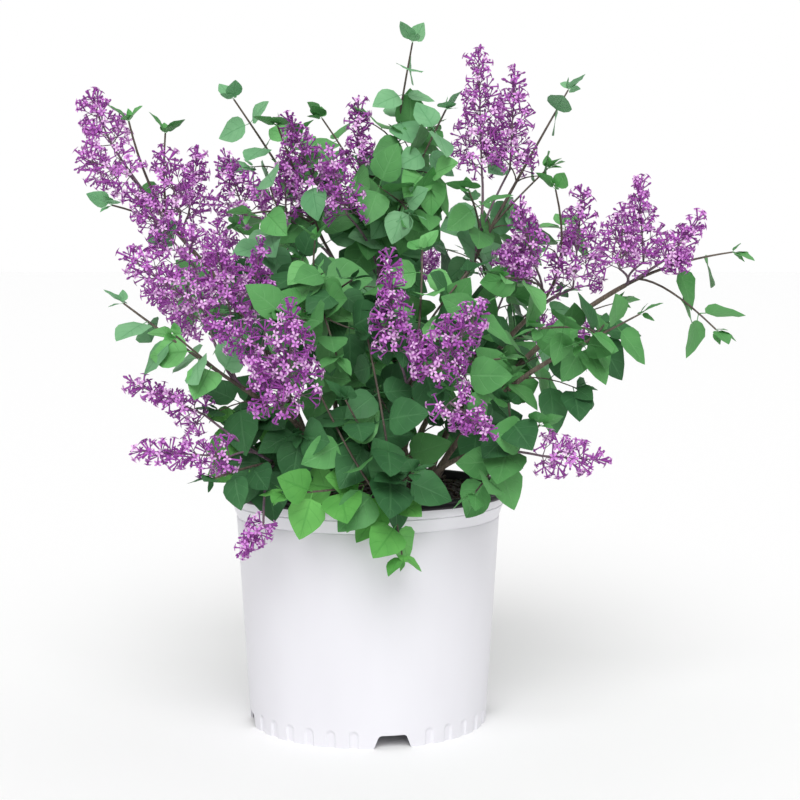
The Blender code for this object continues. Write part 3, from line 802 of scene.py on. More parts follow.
BOUGHS = {
    "left_high": Bough((-0.045, 0.000), (-0.171, -0.030, 0.468)),
    "left": Bough((-0.050, -0.028), (-0.115, -0.120, 0.340)),
    "left_front": Bough((-0.040, -0.055), (-0.076, -0.140, 0.320), 0.0040),
    "low_left": Bough((-0.064, -0.044), (-0.084, -0.100, 0.268), 0.0030),
    "whip": Bough((0.044, -0.014), (-0.030, 0.016, 0.450), 0.0030),
    "inner_left": Bough((-0.022, -0.026), (-0.046, -0.060, 0.390), 0.0030),
    "top": Bough((0.006, 0.014), (0.012, 0.034, 0.420), 0.0034),
    "top_right": Bough((0.028, 0.012), (0.096, 0.004, 0.440), 0.0046),
    "right_high": Bough((0.058, 0.010), (0.165, 0.010, 0.405), 0.0036),
    "right": Bough((0.062, -0.016), (0.251, -0.020, 0.432), 0.0036),
    "right_low": Bough((0.056, -0.040), (0.190, -0.080, 0.372), 0.0034),
    "low_right": Bough((0.044, -0.060), (0.116, -0.130, 0.283), 0.0030),
    "front": Bough((0.014, -0.048), (0.034, -0.120, 0.330), 0.0036),
    "front_low": Bough((-0.008, -0.066), (0.004, -0.100, 0.261), 0.0030),
    "back_left": Bough((-0.034, 0.034), (-0.090, 0.100, 0.345), 0.0036),
    "back": Bough((0.000, 0.052), (0.008, 0.120, 0.360), 0.0040),
    "back_right": Bough((0.036, 0.042), (0.098, 0.108, 0.340), 0.0036),
}

# In the greens, SHADE paints shade and SUN paints sunlight into the leaf colour.
LEAF_MASSES = {
    "left_high": LeafMass(1, 0.035, "FRESH GREY MID", (
        (-0.222, -0.075, 0.585), (-0.235, -0.1, 0.507), (-0.19, -0.06, 0.575),
    )),
    "left": LeafMass(2, 0.035, "GREY MID FRESH", ((-0.22, -0.14, 0.418), (-0.17, -0.17, 0.39))),
    "low_left": LeafMass(3, 0.035, "MID SUN SHADE", ((-0.137, -0.17, 0.263), (-0.13, -0.1, 0.308))),
    "whip": LeafMass(4, 0.04, "GREY FRESH MID", (
        (-0.13, 0.0, 0.612), (-0.086, -0.03, 0.584), (-0.11, -0.07, 0.5),
    )),
    "inner_left": LeafMass(5, 0.05, "MID SHADE FRESH", (
        (-0.049, -0.09, 0.475), (-0.014, -0.13, 0.439), (-0.06, -0.13, 0.405), (-0.028, -0.16, 0.372),
    )),
    "top": LeafMass(6, 0.04, "GREY FRESH MID MID", (
        (0.044, 0.01, 0.668), (0.075, -0.03, 0.6), (-0.045, 0.03, 0.596), (0.04, -0.05, 0.5),
        (-0.05, 0.07, 0.5),
    )),
    "top_right": LeafMass(7, 0.04, "GREY FRESH MID", (
        (0.199, 0.03, 0.624), (0.095, -0.06, 0.523), (0.175, -0.01, 0.545),
    )),
    "right_high": LeafMass(8, 0.05, "MID FRESH SHADE", ((0.181, -0.03, 0.524), (0.13, -0.06, 0.44))),
    "right": LeafMass(9, 0.035, "FRESH MID", ((0.355, -0.02, 0.464), (0.334, -0.05, 0.39))),
    "right_low": LeafMass(10, 0.035, "FRESH MID SHADE", (
        (0.256, -0.08, 0.406), (0.196, -0.12, 0.38), (0.228, -0.04, 0.395), (0.155, -0.14, 0.395),
    )),
    "low_right": LeafMass(27, 0.035, "SHADE MID", (
        (0.153, -0.17, 0.31), (0.095, -0.175, 0.25), (0.125, -0.17, 0.33),
    )),
    "front": LeafMass(12, 0.055, "MID SHADE FRESH", (
        (0.051, -0.08, 0.466), (0.117, -0.18, 0.37), (0.064, -0.17, 0.345), (0.092, -0.1, 0.445),
    )),
    "front_low": LeafMass(13, 0.035, "SUN SUN SHADE MID", (
        (0.03, -0.178, 0.195), (-0.02, -0.18, 0.334), (-0.074, -0.175, 0.25), (0.04, -0.19, 0.27),
        (0.0, -0.14, 0.385), (-0.045, -0.15, 0.34),
    )),
    "back_left": LeafMass(14, 0.055, "MID FRESH GREY SHADE", (
        (-0.2, 0.17, 0.42), (-0.11, 0.19, 0.52), (-0.15, 0.05, 0.4), (-0.08, 0.085, 0.47),
    )),
    "back": LeafMass(15, 0.055, "MID FRESH GREY SHADE", (
        (0.0, 0.25, 0.43), (0.06, 0.17, 0.57), (-0.05, 0.2, 0.32), (0.02, 0.09, 0.51),
    )),
    "back_right": LeafMass(16, 0.055, "MID FRESH GREY SHADE", (
        (0.21, 0.19, 0.42), (0.14, 0.22, 0.51), (0.19, 0.06, 0.38), (0.11, 0.085, 0.47),
    )),
}

BLOSSOMS = {
    "left_top": Blossom(1, "left_high", (
        ((-0.242, -0.05, 0.565), (-0.265, -0.05, 0.618), 0.031),
        ((-0.222, -0.07, 0.535), (-0.272, -0.09, 0.554), 0.03),
    )),
    "left_crest": Blossom(2, "left_high", (
        ((-0.178, -0.05, 0.502), (-0.195, -0.06, 0.566), 0.03),
        ((-0.172, -0.03, 0.5), (-0.163, -0.01, 0.567), 0.026),
    )),
    "left_wide": Blossom(3, "left", (
        ((-0.149, -0.12, 0.41), (-0.222, -0.15, 0.466), 0.036),
        ((-0.16, -0.09, 0.45), (-0.226, -0.09, 0.528), 0.034),
    )),
    "left_inner": Blossom(4, "left", (
        ((-0.125, -0.12, 0.407), (-0.14, -0.13, 0.482), 0.032),
        ((-0.108, -0.1, 0.409), (-0.099, -0.08, 0.48), 0.026),
    )),
    "left_front": Blossom(5, "left_front", (
        ((-0.07, -0.17, 0.335), (-0.067, -0.19, 0.425), 0.033),
        ((-0.082, -0.17, 0.325), (-0.1, -0.2, 0.375), 0.026),
        ((-0.095, -0.16, 0.38), (-0.145, -0.18, 0.402), 0.026),
    )),
    "low_left": Blossom(6, "low_left", (
        ((-0.149, -0.13, 0.316), (-0.222, -0.14, 0.35), 0.022),
        ((-0.125, -0.15, 0.28), (-0.214, -0.17, 0.288), 0.024),
    )),
    "rim_left": Blossom(7, "low_left", (((-0.094, -0.165, 0.222), (-0.118, -0.17, 0.19), 0.017),)),
    "inner_back": Blossom(8, "whip", (
        ((-0.12, 0.0, 0.5), (-0.141, -0.01, 0.566), 0.028),
        ((-0.08, 0.0, 0.5), (-0.08, -0.02, 0.56), 0.026),
    )),
    "top_left": Blossom(9, "top", (
        ((-0.008, 0.02, 0.55), (-0.009, 0.02, 0.62), 0.022),
        ((-0.05, -0.01, 0.53), (-0.08, -0.03, 0.6), 0.028),
    )),
    "top_inner": Blossom(10, "top", (((-0.02, -0.03, 0.5), (-0.04, -0.06, 0.566), 0.028),)),
    "top_right": Blossom(11, "top_right", (
        ((0.111, -0.01, 0.545), (0.107, -0.01, 0.664), 0.034),
        ((0.14, 0.01, 0.545), (0.145, 0.01, 0.648), 0.03),
    )),
    "right_inner": Blossom(12, "right_high", (
        ((0.16, -0.02, 0.455), (0.143, -0.04, 0.518), 0.027),
        ((0.15, -0.03, 0.445), (0.123, -0.05, 0.468), 0.018),
    )),
    "right_high": Blossom(13, "right_high", (((0.202, 0.0, 0.428), (0.212, 0.0, 0.532), 0.035),)),
    "right_crest": Blossom(14, "right", (
        ((0.242, -0.04, 0.448), (0.246, -0.04, 0.512), 0.033),
        ((0.27, -0.01, 0.454), (0.266, 0.0, 0.542), 0.027),
    )),
    "right_tip": Blossom(15, "right", (
        ((0.294, -0.03, 0.462), (0.326, -0.03, 0.504), 0.022),
        ((0.288, -0.04, 0.458), (0.309, -0.055, 0.454), 0.014),
    )),
    "front_left": Blossom(16, "front", (
        ((0.024, -0.16, 0.375), (0.018, -0.18, 0.47), 0.024),
        ((0.058, -0.18, 0.358), (0.036, -0.2, 0.39), 0.02),
    )),
    "front_right": Blossom(17, "front", (((0.062, -0.17, 0.362), (0.104, -0.19, 0.424), 0.032),)),
    "front_low": Blossom(18, "low_right", (((0.072, -0.185, 0.332), (0.112, -0.215, 0.303), 0.028),)),
    "low_right": Blossom(19, "low_right", (((0.158, -0.15, 0.28), (0.218, -0.17, 0.278), 0.028),)),
    "back_left": Blossom(20, "back_left", (
        ((-0.14, 0.14, 0.43), (-0.165, 0.17, 0.5), 0.032),
        ((-0.17, 0.11, 0.39), (-0.24, 0.13, 0.43), 0.03),
    )),
    "back": Blossom(21, "back", (
        ((0.0, 0.18, 0.49), (-0.01, 0.22, 0.56), 0.034), ((0.04, 0.2, 0.44), (0.08, 0.27, 0.46), 0.03),
    )),
    "back_right": Blossom(22, "back_right", (
        ((0.15, 0.15, 0.43), (0.18, 0.17, 0.5), 0.032), ((0.18, 0.15, 0.37), (0.255, 0.2, 0.385), 0.03),
    )),
}


def bend(start: Vector, heading: Vector, end: Vector, steps: int, pull: float = 0.45) -> list[Vector]:
    """A curve that leaves its start along a heading.

    Args:
        start: its first point.
        heading: the way that it leaves.
        end: its last point.
        steps: how many pieces it has.
        pull: how far the heading carries, as a share of the span.

    Returns:
        Its points.
    """
    control = start + heading.normalized() * (end - start).length * pull
    shares = [index / steps for index in range(steps + 1)]
    return [(1 - t) ** 2 * start + 2 * t * (1 - t) * control + t * t * end for t in shares]


def length_of(points: list[Vector]) -> float:
    """The length of a line of points."""
    return sum((b - a).length for a, b in zip(points, points[1:]))


def along(points: list[Vector], fraction: float) -> tuple[Vector, Vector]:
    """Finds a place on a line of points.

    Args:
        points: the line.
        fraction: the share of its length.

    Returns:
        The place, and the line's direction there.
    """
    left = fraction * length_of(points)
    for a, b in zip(points, points[1:]):
        length = (b - a).length
        if left <= length:
            return a.lerp(b, left / length), (b - a).normalized()
        left -= length
    return points[-1].copy(), (b - a).normalized()


def side_of(direction: Vector, turn: float) -> Vector:
    """A direction square to a twig.

    Args:
        direction: the twig's direction.
        turn: the angle round it.

    Returns:
        The direction.
    """
    level = direction.cross(UP)
    if level.length < 0.2:
        level = direction.cross(Vector((1.0, 0.0, 0.0)))
    return Matrix.Rotation(turn, 3, direction) @ level.normalized()


def jitter(chance: Dice, amount: float) -> Vector:
    """A small random vector."""
    return Vector((chance.uniform(-1, 1), chance.uniform(-1, 1), chance.uniform(-1, 1))) * amount


@dataclass
class Boughs:
    """The seventeen limbs, each tapering from the soil to its fork."""

    soil_top: float
    taper: float = 0.38
    flare: float = 1.3
    foot_lead: float = 0.006
    foot_depth: float = 0.004
    sideways: float = 0.35
    upwards: float = 0.62
    pull: float = 0.55
    overlap: float = 0.002
    steps: int = 26
    sides: int = 12
    relief: float = 0.0007

    def line(self, name: str) -> list[Vector]:
        """A bough's line from the soil to its fork.

        Args:
            name: the bough's name.

        Returns:
            Its points.
        """
        foot, tip = Vector((*BOUGHS[name].foot, self.soil_top)), Vector(BOUGHS[name].tip)
        span = tip - foot
        rise = Vector((self.sideways * span.x, self.sideways * span.y, self.upwards * span.z))
        curve = bend(foot + UP * self.foot_lead, rise, tip, self.steps, self.pull)
        return [foot - UP * self.foot_depth, *curve]

    def leader(self, name: str, end: Triple, steps: int) -> list[Vector]:
        """The line that goes on from a bough's fork to an end."""
        fork, heading = along(self.line(name), 1.0)
        return bend(fork - heading * self.overlap, heading, Vector(end), steps)

    def build(self) -> list[bpy.types.Object]:
        """Grows the boughs.

        Returns:
            One piece.
        """
        limbs = Limbs()
        for name, bough in BOUGHS.items():
            points = self.line(name)
            last = len(points) - 1
            radii = [bough.radius * (1.0 - self.taper * i / last) for i in range(last + 1)]
            radii[0] *= self.flare
            radii[1] *= 1.0 + (self.flare - 1.0) / 2
            limbs.lines.append((points, radii))
        obj = limb_grower().grow(limbs.mesh("boughs"), BOUGH_SKIN, Sides=self.sides, Relief=self.relief)
        return [worn(obj, ["bough_" + name for name in BOUGHS])]


@dataclass
class Foliage:
    """Leafy twigs: pairs at each node, every pair a quarter turn from the one below.

    An aim or a face gives the shares of the directions that it is made of, in the order in
    which its method adds them up.
    """

    boughs: Boughs
    chance: Dice = field(default_factory=lambda: Dice(0))
    heart: tuple[float, float] = (0.0, 0.12)
    node_spacing: float = 0.026
    twigs_below: float = 0.60
    bough_spacing: float = 0.040
    bough_start: float = 0.34
    bough_end: float = 0.88
    low_line: float = 0.285
    large_below: float = 0.26
    small_above: float = 0.60
    small_size: float = 0.86
    bough_reach: float = 0.050
    twig_radius: float = 0.0013
    side_radius: float = 0.0009
    tip_radius: float = 0.0005
    twig_relief: float = 0.0003
    bare_reach: float = 0.036
    keep_out_radius: float = 0.143
    keep_out_top: float = 0.240
    light_way: float = 0.12
    blossom_gap: float = 0.004
    clearing: float = 0.88
    leaf_aim: Triple = (0.90, 0.30, 0.15)
    leaf_face: Triple = (0.45, 0.85, 0.45)
    leaf_droop: float = 0.85
    leaf_root: float = 0.020
    leaf_middle: float = 0.026
    leaf_end: float = 0.045
    size_spread: tuple[float, float] = (0.82, 1.12)
    pair_stray: float = 0.35
    tip_aim: Triple = (0.65, 0.75, 0.15)
    tip_face: tuple[float, float] = (0.3, 0.4)
    tip_stray: float = 0.4
    twig_aim: tuple[float, ...] = (0.85, 0.45, 0.15, 0.15)
    twig_spread: tuple[float, float] = (0.65, 1.05)
    twig_nodes: tuple[float, float] = (0.5, 0.95)
    twig_size: float = 0.95
    twig_size_loss: float = 0.12
    shoot_size_loss: float = 0.25
    tipped_share: float = 0.5
    low_spread: float = 0.06
    low_stray: float = 0.8
    low_seed: int = 200
    leader_width: float = 0.55
    first_fork: float = 0.14
    fork_step: float = 0.11
    flat_fold: float = 0.06
    bare_boughs: tuple[str, ...] = ("front_low", "low_right", "low_left")
    # Painted shade: the lower twigs mostly take the darker SHADE green.
    shade_tones: tuple[LeafTone, ...] = (LeafTone.SHADE, LeafTone.SHADE, LeafTone.MID)
    tip_turns: tuple[float, ...] = (0.0, math.pi, QUARTER, -QUARTER)
    tip_sizes: tuple[float, ...] = (0.46, 0.42, 0.28, 0.24)
    twigs: Limbs = field(default_factory=Limbs)
    leaves: dict[LeafTone, Spots] = field(default_factory=lambda: {tone: Spots() for tone in LeafTone})

    def in_pot(self, place: Vector) -> bool:
        """Says whether a place is inside the pot or its soil."""
        return place.z < self.keep_out_top and math.hypot(place.x, place.y) < self.keep_out_radius

    def outward(self, place: Vector) -> Vector:
        """The level direction from the crown's heart to a place."""
        return Vector((place.x - self.heart[0], place.y - self.heart[1], 0.0)).normalized()

    def size_at(self, height: float) -> float:
        """How large the leaves are at a height: full size low down, smaller towards the top."""
        rise = (height - self.large_below) / (self.small_above - self.large_below)
        return 1.0 - (1.0 - self.small_size) * min(1.0, max(0.0, rise))

    def over_blossom(self, place: Vector) -> bool:
        """Says whether a leaf would lie in a panicle, or between one and the light.

        Args:
            place: the leaf's middle.

        Returns:
            Whether it would.
        """
        for group in BLOSSOMS.values():
            for foot, tip, half_width in group.panicles:
                axis = Vector(tip) - Vector(foot)
                off = place - Vector(foot)
                share = min(1.0, max(0.0, off.dot(axis) / axis.length_squared))
                off -= axis * share
                before = off.dot(self.outward(Vector(foot)))
                off -= self.outward(Vector(foot)) * min(self.light_way, max(0.0, before))
                if off.length < half_width * (1.0 - 0.4 * share) + self.blossom_gap:
                    return True
        return False

    def leaf(self, spot: Vector, side: Vector, heading: Vector, size: float, tone: LeafTone) -> None:
        """Puts one leaf, drooping, with its face outwards and up.

        Args:
            spot: its place on the twig.
            side: the side of the twig that it grows from.
            heading: the twig's direction.
            size: its scale.
            tone: its green.
        """
        outward = self.outward(spot)
        droop = self.chance.uniform(0.0, self.leaf_droop)
        out, on, away = self.leaf_aim
        aim = (side * out + heading * on + outward * away - UP * droop).normalized()
        up, away, stray = self.leaf_face
        face = (UP * up + outward * away + jitter(self.chance, stray)).normalized()
        size *= self.size_at(spot.z)
        if self.in_pot(spot + aim * self.leaf_end * size) or self.in_pot(spot + aim * self.leaf_root * size):
            return
        if self.chance.random() < self.clearing and self.over_blossom(spot + aim * self.leaf_middle * size):
            return
        self.leaves[tone].put(spot, aim, face, size)

    def pair(self, spot: Vector, heading: Vector, turn: float, size: float, tone: LeafTone) -> None:
        """Puts two leaves, one on each side of a twig.

        Args:
            spot: the node.
            heading: the twig's direction.
            turn: the first leaf's angle round the twig.
            size: their scale, roughly.
            tone: their green.
        """
        for half_turn in (0.0, math.pi):
            stray = self.chance.uniform(-self.pair_stray, self.pair_stray)
            side = side_of(heading, turn + half_turn + stray)
            self.leaf(spot, side, heading, size * self.chance.uniform(*self.size_spread), tone)

    def tip(self, spot: Vector, heading: Vector, tone: LeafTone) -> None:
        """Ends a twig with small young leaves that point on along it.

        Args:
            spot: the twig's end.
            heading: its direction there.
            tone: their green.
        """
        out, on, stray = self.tip_aim
        lean, wobble = self.tip_face
        for turn, size in zip(self.tip_turns, self.tip_sizes):
            side = side_of(heading, turn + self.chance.uniform(-self.tip_stray, self.tip_stray))
            aim = (side * out + heading * on + jitter(self.chance, stray)).normalized()
            face = (UP + side * lean + jitter(self.chance, wobble)).normalized()
            self.leaves[tone].put(spot, aim, face, size)

    def shoot(self, points: list[Vector], reach: float, tones: list[LeafTone]) -> None:
        """Dresses one shoot with leaf pairs, and side twigs on its lower nodes.

        Args:
            points: the shoot's line.
            reach: how long its side twigs are; a short reach leaves them out.
            tones: the greens that it may take.
        """
        count = max(3, round(length_of(points) / self.node_spacing))
        phase = self.chance.uniform(0.0, math.pi)
        tone = self.chance.choice(tones)
        for index in range(1, count):
            share = index / count
            spot, heading = along(points, share)
            turn = phase + index * QUARTER
            if index % 2 or share > self.twigs_below or reach < self.bare_reach or spot.z < self.low_line:
                self.pair(spot, heading, turn, 1.0 - self.shoot_size_loss * share, tone)
                continue
            for half_turn in (0.0, math.pi):
                self.side_twig(spot, heading, side_of(heading, turn + half_turn), reach, tones)
        self.tip(*along(points, 1.0), tone)

    def side_twig(
        self, spot: Vector, heading: Vector, side: Vector, reach: float, tones: list[LeafTone]
    ) -> None:
        """Grows a side twig with two leaf pairs and sometimes a tip of its own.

        Args:
            spot: its foot.
            heading: the direction of the twig that it grows from.
            side: the side that it grows out to.
            reach: its length at most.
            tones: the greens that it may take.
        """
        out, on, up, stray = self.twig_aim
        aim = (side * out + heading * on + UP * up + jitter(self.chance, stray)).normalized()
        end = spot + aim * reach * self.chance.uniform(*self.twig_spread)
        if self.in_pot(end):
            return
        line = bend(spot, (aim + heading).normalized(), end, 4, 0.4)
        self.twigs.put(line, self.side_radius, self.tip_radius)
        tone = self.chance.choice(tones)
        first = self.chance.uniform(0.0, math.pi)
        for index, share in enumerate(self.twig_nodes):
            size = self.twig_size - self.twig_size_loss * index
            self.pair(*along(line, share), first + index * QUARTER, size, tone)
        if self.chance.random() < self.tipped_share:
            self.tip(end, aim, tone)

    def lower_twigs(self) -> None:
        """Grows short leafy twigs from the boughs below their forks, pointing outward, mostly in the green
        that paints shade.
        """
        for seed, name in enumerate(BOUGHS):
            if name in self.bare_boughs:
                continue
            self.chance = Dice(seed + self.low_seed)
            line = self.boughs.line(name)
            share = self.bough_start + self.chance.uniform(0.0, self.low_spread)
            while share < self.bough_end:
                spot, heading = along(line, share)
                side = (self.outward(spot) + jitter(self.chance, self.low_stray)).normalized()
                self.side_twig(spot, heading, side, self.bough_reach, self.shade_tones)
                share += self.bough_spacing / length_of(line)

    def build(self) -> list[bpy.types.Object]:
        """Grows every leaf mass.

        Returns:
            The twigs as one piece, and the leaves as one piece for each tone.
        """
        for name, row in LEAF_MASSES.items():
            self.chance = Dice(row.seed)
            tones = [LeafTone[green] for green in row.greens.split()]
            main = self.boughs.leader(name, row.tips[0], 10)
            self.twigs.put(main, BOUGHS[name].radius * self.leader_width, self.side_radius)
            self.shoot(main, row.reach, tones)
            for index, tip in enumerate(map(Vector, row.tips[1:])):
                fork, way = along(main, self.first_fork + self.fork_step * index)
                line = bend(fork, (way + (tip - fork).normalized()).normalized(), tip, 8, 0.3)
                self.twigs.put(line, self.twig_radius, self.side_radius)
                self.shoot(line, row.reach, tones)
        self.lower_twigs()
        nodes = ["leaves_" + name for name in LEAF_MASSES]
        twigs = self.twigs.mesh("leafy_twigs")
        limb_grower().grow(twigs, TWIG_SKIN, Sides=6, Relief=self.twig_relief)
        pieces = [worn(twigs, nodes)]
        folds = {LeafTone.MID: 0.08, LeafTone.FRESH: 0.13, LeafTone.GREY: 0.05}
        for tone, spots in self.leaves.items():
            fold = folds.get(tone, self.flat_fold)
            obj = leaf_grower().grow(spots.mesh(tone.value.name), tone.value, Fold=fold)
            pieces.append(worn(obj, nodes))
        return pieces


@dataclass
class Panicles:
    """Blossom: opposite branchlets up an axis, each with florets and buds."""

    boughs: Boughs
    chance: Dice = field(default_factory=lambda: Dice(0))
    node_spacing: float = 0.0100
    floret_length: float = 0.0120
    forked_reach: float = 0.0135
    shortest_reach: float = 0.003
    stalk_radius: float = 0.0011
    axis_tip_radius: float = 0.0005
    branch_radius: float = 0.00055
    tip_radius: float = 0.00035
    open_share: float = 0.72
    floret_stray: float = 0.50
    size_spread: tuple[float, float] = (0.82, 1.12)
    reach_spread: tuple[float, float] = (0.75, 1.10)
    foot_reach: float = 1.15
    reach_loss: float = 0.62
    foot_lean_deg: float = 72.0
    lean_loss_deg: float = 44.0
    fork_place: float = 0.55
    fork_reach: float = 0.38
    node_turn: float = 0.8
    three_armed: float = 0.7
    open_foot: float = 1.15
    open_loss: float = 0.5
    floret_aim: tuple[float, float] = (0.72, 0.70)
    fork_aim: tuple[float, float] = (0.8, 0.6)
    leader_width: float = 0.50
    first_fork: float = 0.20
    fork_step: float = 0.12
    fork_width: float = 1.1
    first_seed: int = 100
    tone_shares: Triple = (0.40, 0.38, 0.22)
    stalks: Limbs = field(default_factory=Limbs)
    faces: dict[PetalTone, Spots] = field(default_factory=lambda: {tone: Spots() for tone in PetalTone})
    tubes: Spots = field(default_factory=Spots)
    buds: Spots = field(default_factory=Spots)

    def floret(self, spot: Vector, aim: Vector, share: float) -> None:
        """Puts one floret or bud.

        Args:
            spot: where it grows from.
            aim: the way that it points, roughly.
            share: how far up the panicle it is.
        """
        way = (aim + jitter(self.chance, self.floret_stray)).normalized()
        face = side_of(way, self.chance.uniform(0.0, math.pi))
        size = self.chance.uniform(*self.size_spread)
        if self.chance.random() > self.open_share * (self.open_foot - self.open_loss * share):
            self.buds.put(spot, way, face, size, "Z")
            return
        self.tubes.put(spot, way, face, size, "Z")
        tone = self.chance.choices(list(PetalTone), self.tone_shares)[0]
        self.faces[tone].put(spot, way, face, size, "Z")

    def cluster(self, spot: Vector, aim: Vector, count: int, share: float) -> None:
        """Ends a stalk with one floret straight on and the rest round it.

        Args:
            spot: the stalk's end.
            aim: its direction.
            count: how many florets there are.
            share: how far up the panicle it is.
        """
        self.floret(spot, aim, share)
        turn = self.chance.uniform(0.0, math.pi)
        on, out = self.floret_aim
        for index in range(count - 1):
            side = side_of(aim, turn + index * FULL / (count - 1))
            self.floret(spot, aim * on + side * out, share)

    def branchlet(self, spot: Vector, aim: Vector, reach: float, share: float) -> None:
        """Grows one branchlet: a pair of short side stalks or florets, and a cluster at its end.

        Args:
            spot: its foot on the axis.
            aim: the way that it points.
            reach: its length.
            share: how far up the panicle it is.
        """
        end = spot + aim * reach
        self.stalks.put(bend(spot, aim - UP * 0.1, end, 2, 0.5), self.branch_radius, self.tip_radius)
        turn = self.chance.uniform(0.0, math.pi)
        place = spot.lerp(end, self.fork_place)
        out, on = self.fork_aim
        for half_turn in (0.0, math.pi):
            way = (side_of(aim, turn + half_turn) * out + aim * on).normalized()
            if reach < self.forked_reach:
                self.floret(place, way, share)
                continue
            tip = place + way * reach * self.fork_reach
            self.stalks.put([place, tip], self.tip_radius, self.tip_radius)
            self.cluster(tip, way, 3, share)
        self.cluster(end, aim, 4, share)

    def panicle(self, base: Vector, tip: Vector, half_width: float) -> None:
        """Grows one panicle, wide at its foot and narrow at its tip.

        Args:
            base: the foot of its axis.
            tip: the top of its florets.
            half_width: how far its lowest florets reach from the axis.
        """
        axis = (tip - base).normalized()
        tip = tip - axis * self.floret_length
        self.stalks.put([base, base.lerp(tip, 0.5), tip], self.stalk_radius, self.axis_tip_radius)
        count = max(4, round((tip - base).length / self.node_spacing))
        first = self.chance.uniform(0.0, math.pi)
        for index in range(count):
            share = index / count
            lean = math.radians(self.foot_lean_deg - self.lean_loss_deg * share)
            arms = 3 if share < self.three_armed else 2
            width = half_width * (self.foot_reach - self.reach_loss * share)
            for arm in range(arms):
                reach = width * self.chance.uniform(*self.reach_spread) - self.floret_length
                side = side_of(axis, first + index * self.node_turn + arm * FULL / arms)
                aim = (side * math.sin(lean) + axis * math.cos(lean)).normalized()
                self.branchlet(base.lerp(tip, share), aim, max(self.shortest_reach, reach), share)
        self.cluster(tip, axis, 5, 1.0)

    def build(self) -> list[bpy.types.Object]:
        """Grows every blossom group.

        Returns:
            The stalks, the tubes, the buds and the faces in each tone, each as one piece.
        """
        for row in BLOSSOMS.values():
            self.chance = Dice(row.seed + self.first_seed)
            main = self.boughs.leader(row.bough, row.panicles[0][0], 8)
            self.stalks.put(main, BOUGHS[row.bough].radius * self.leader_width, self.stalk_radius)
            for index, (foot, tip, half_width) in enumerate(row.panicles):
                if index:
                    fork, way = along(main, self.first_fork + self.fork_step * index)
                    stalk = bend(fork, way, Vector(foot), 6, 0.35)
                    self.stalks.put(stalk, self.stalk_radius * self.fork_width, self.stalk_radius)
                self.panicle(Vector(foot), Vector(tip), half_width)
        grown = [
            limb_grower().grow(self.stalks.mesh("flower_stalks"), STALK_SKIN, Sides=5),
            tube_grower().grow(self.tubes.mesh("floret_tubes"), TUBE_SKIN),
            bud_grower().grow(self.buds.mesh("buds"), BUD_SKIN),
        ]
        for tone, spots in self.faces.items():
            grown.append(face_grower().grow(spots.mesh("florets_" + tone.name.lower()), tone.value))
        return [worn(obj, ["blossom_" + name for name in BLOSSOMS]) for obj in grown]


# The pot and its soil


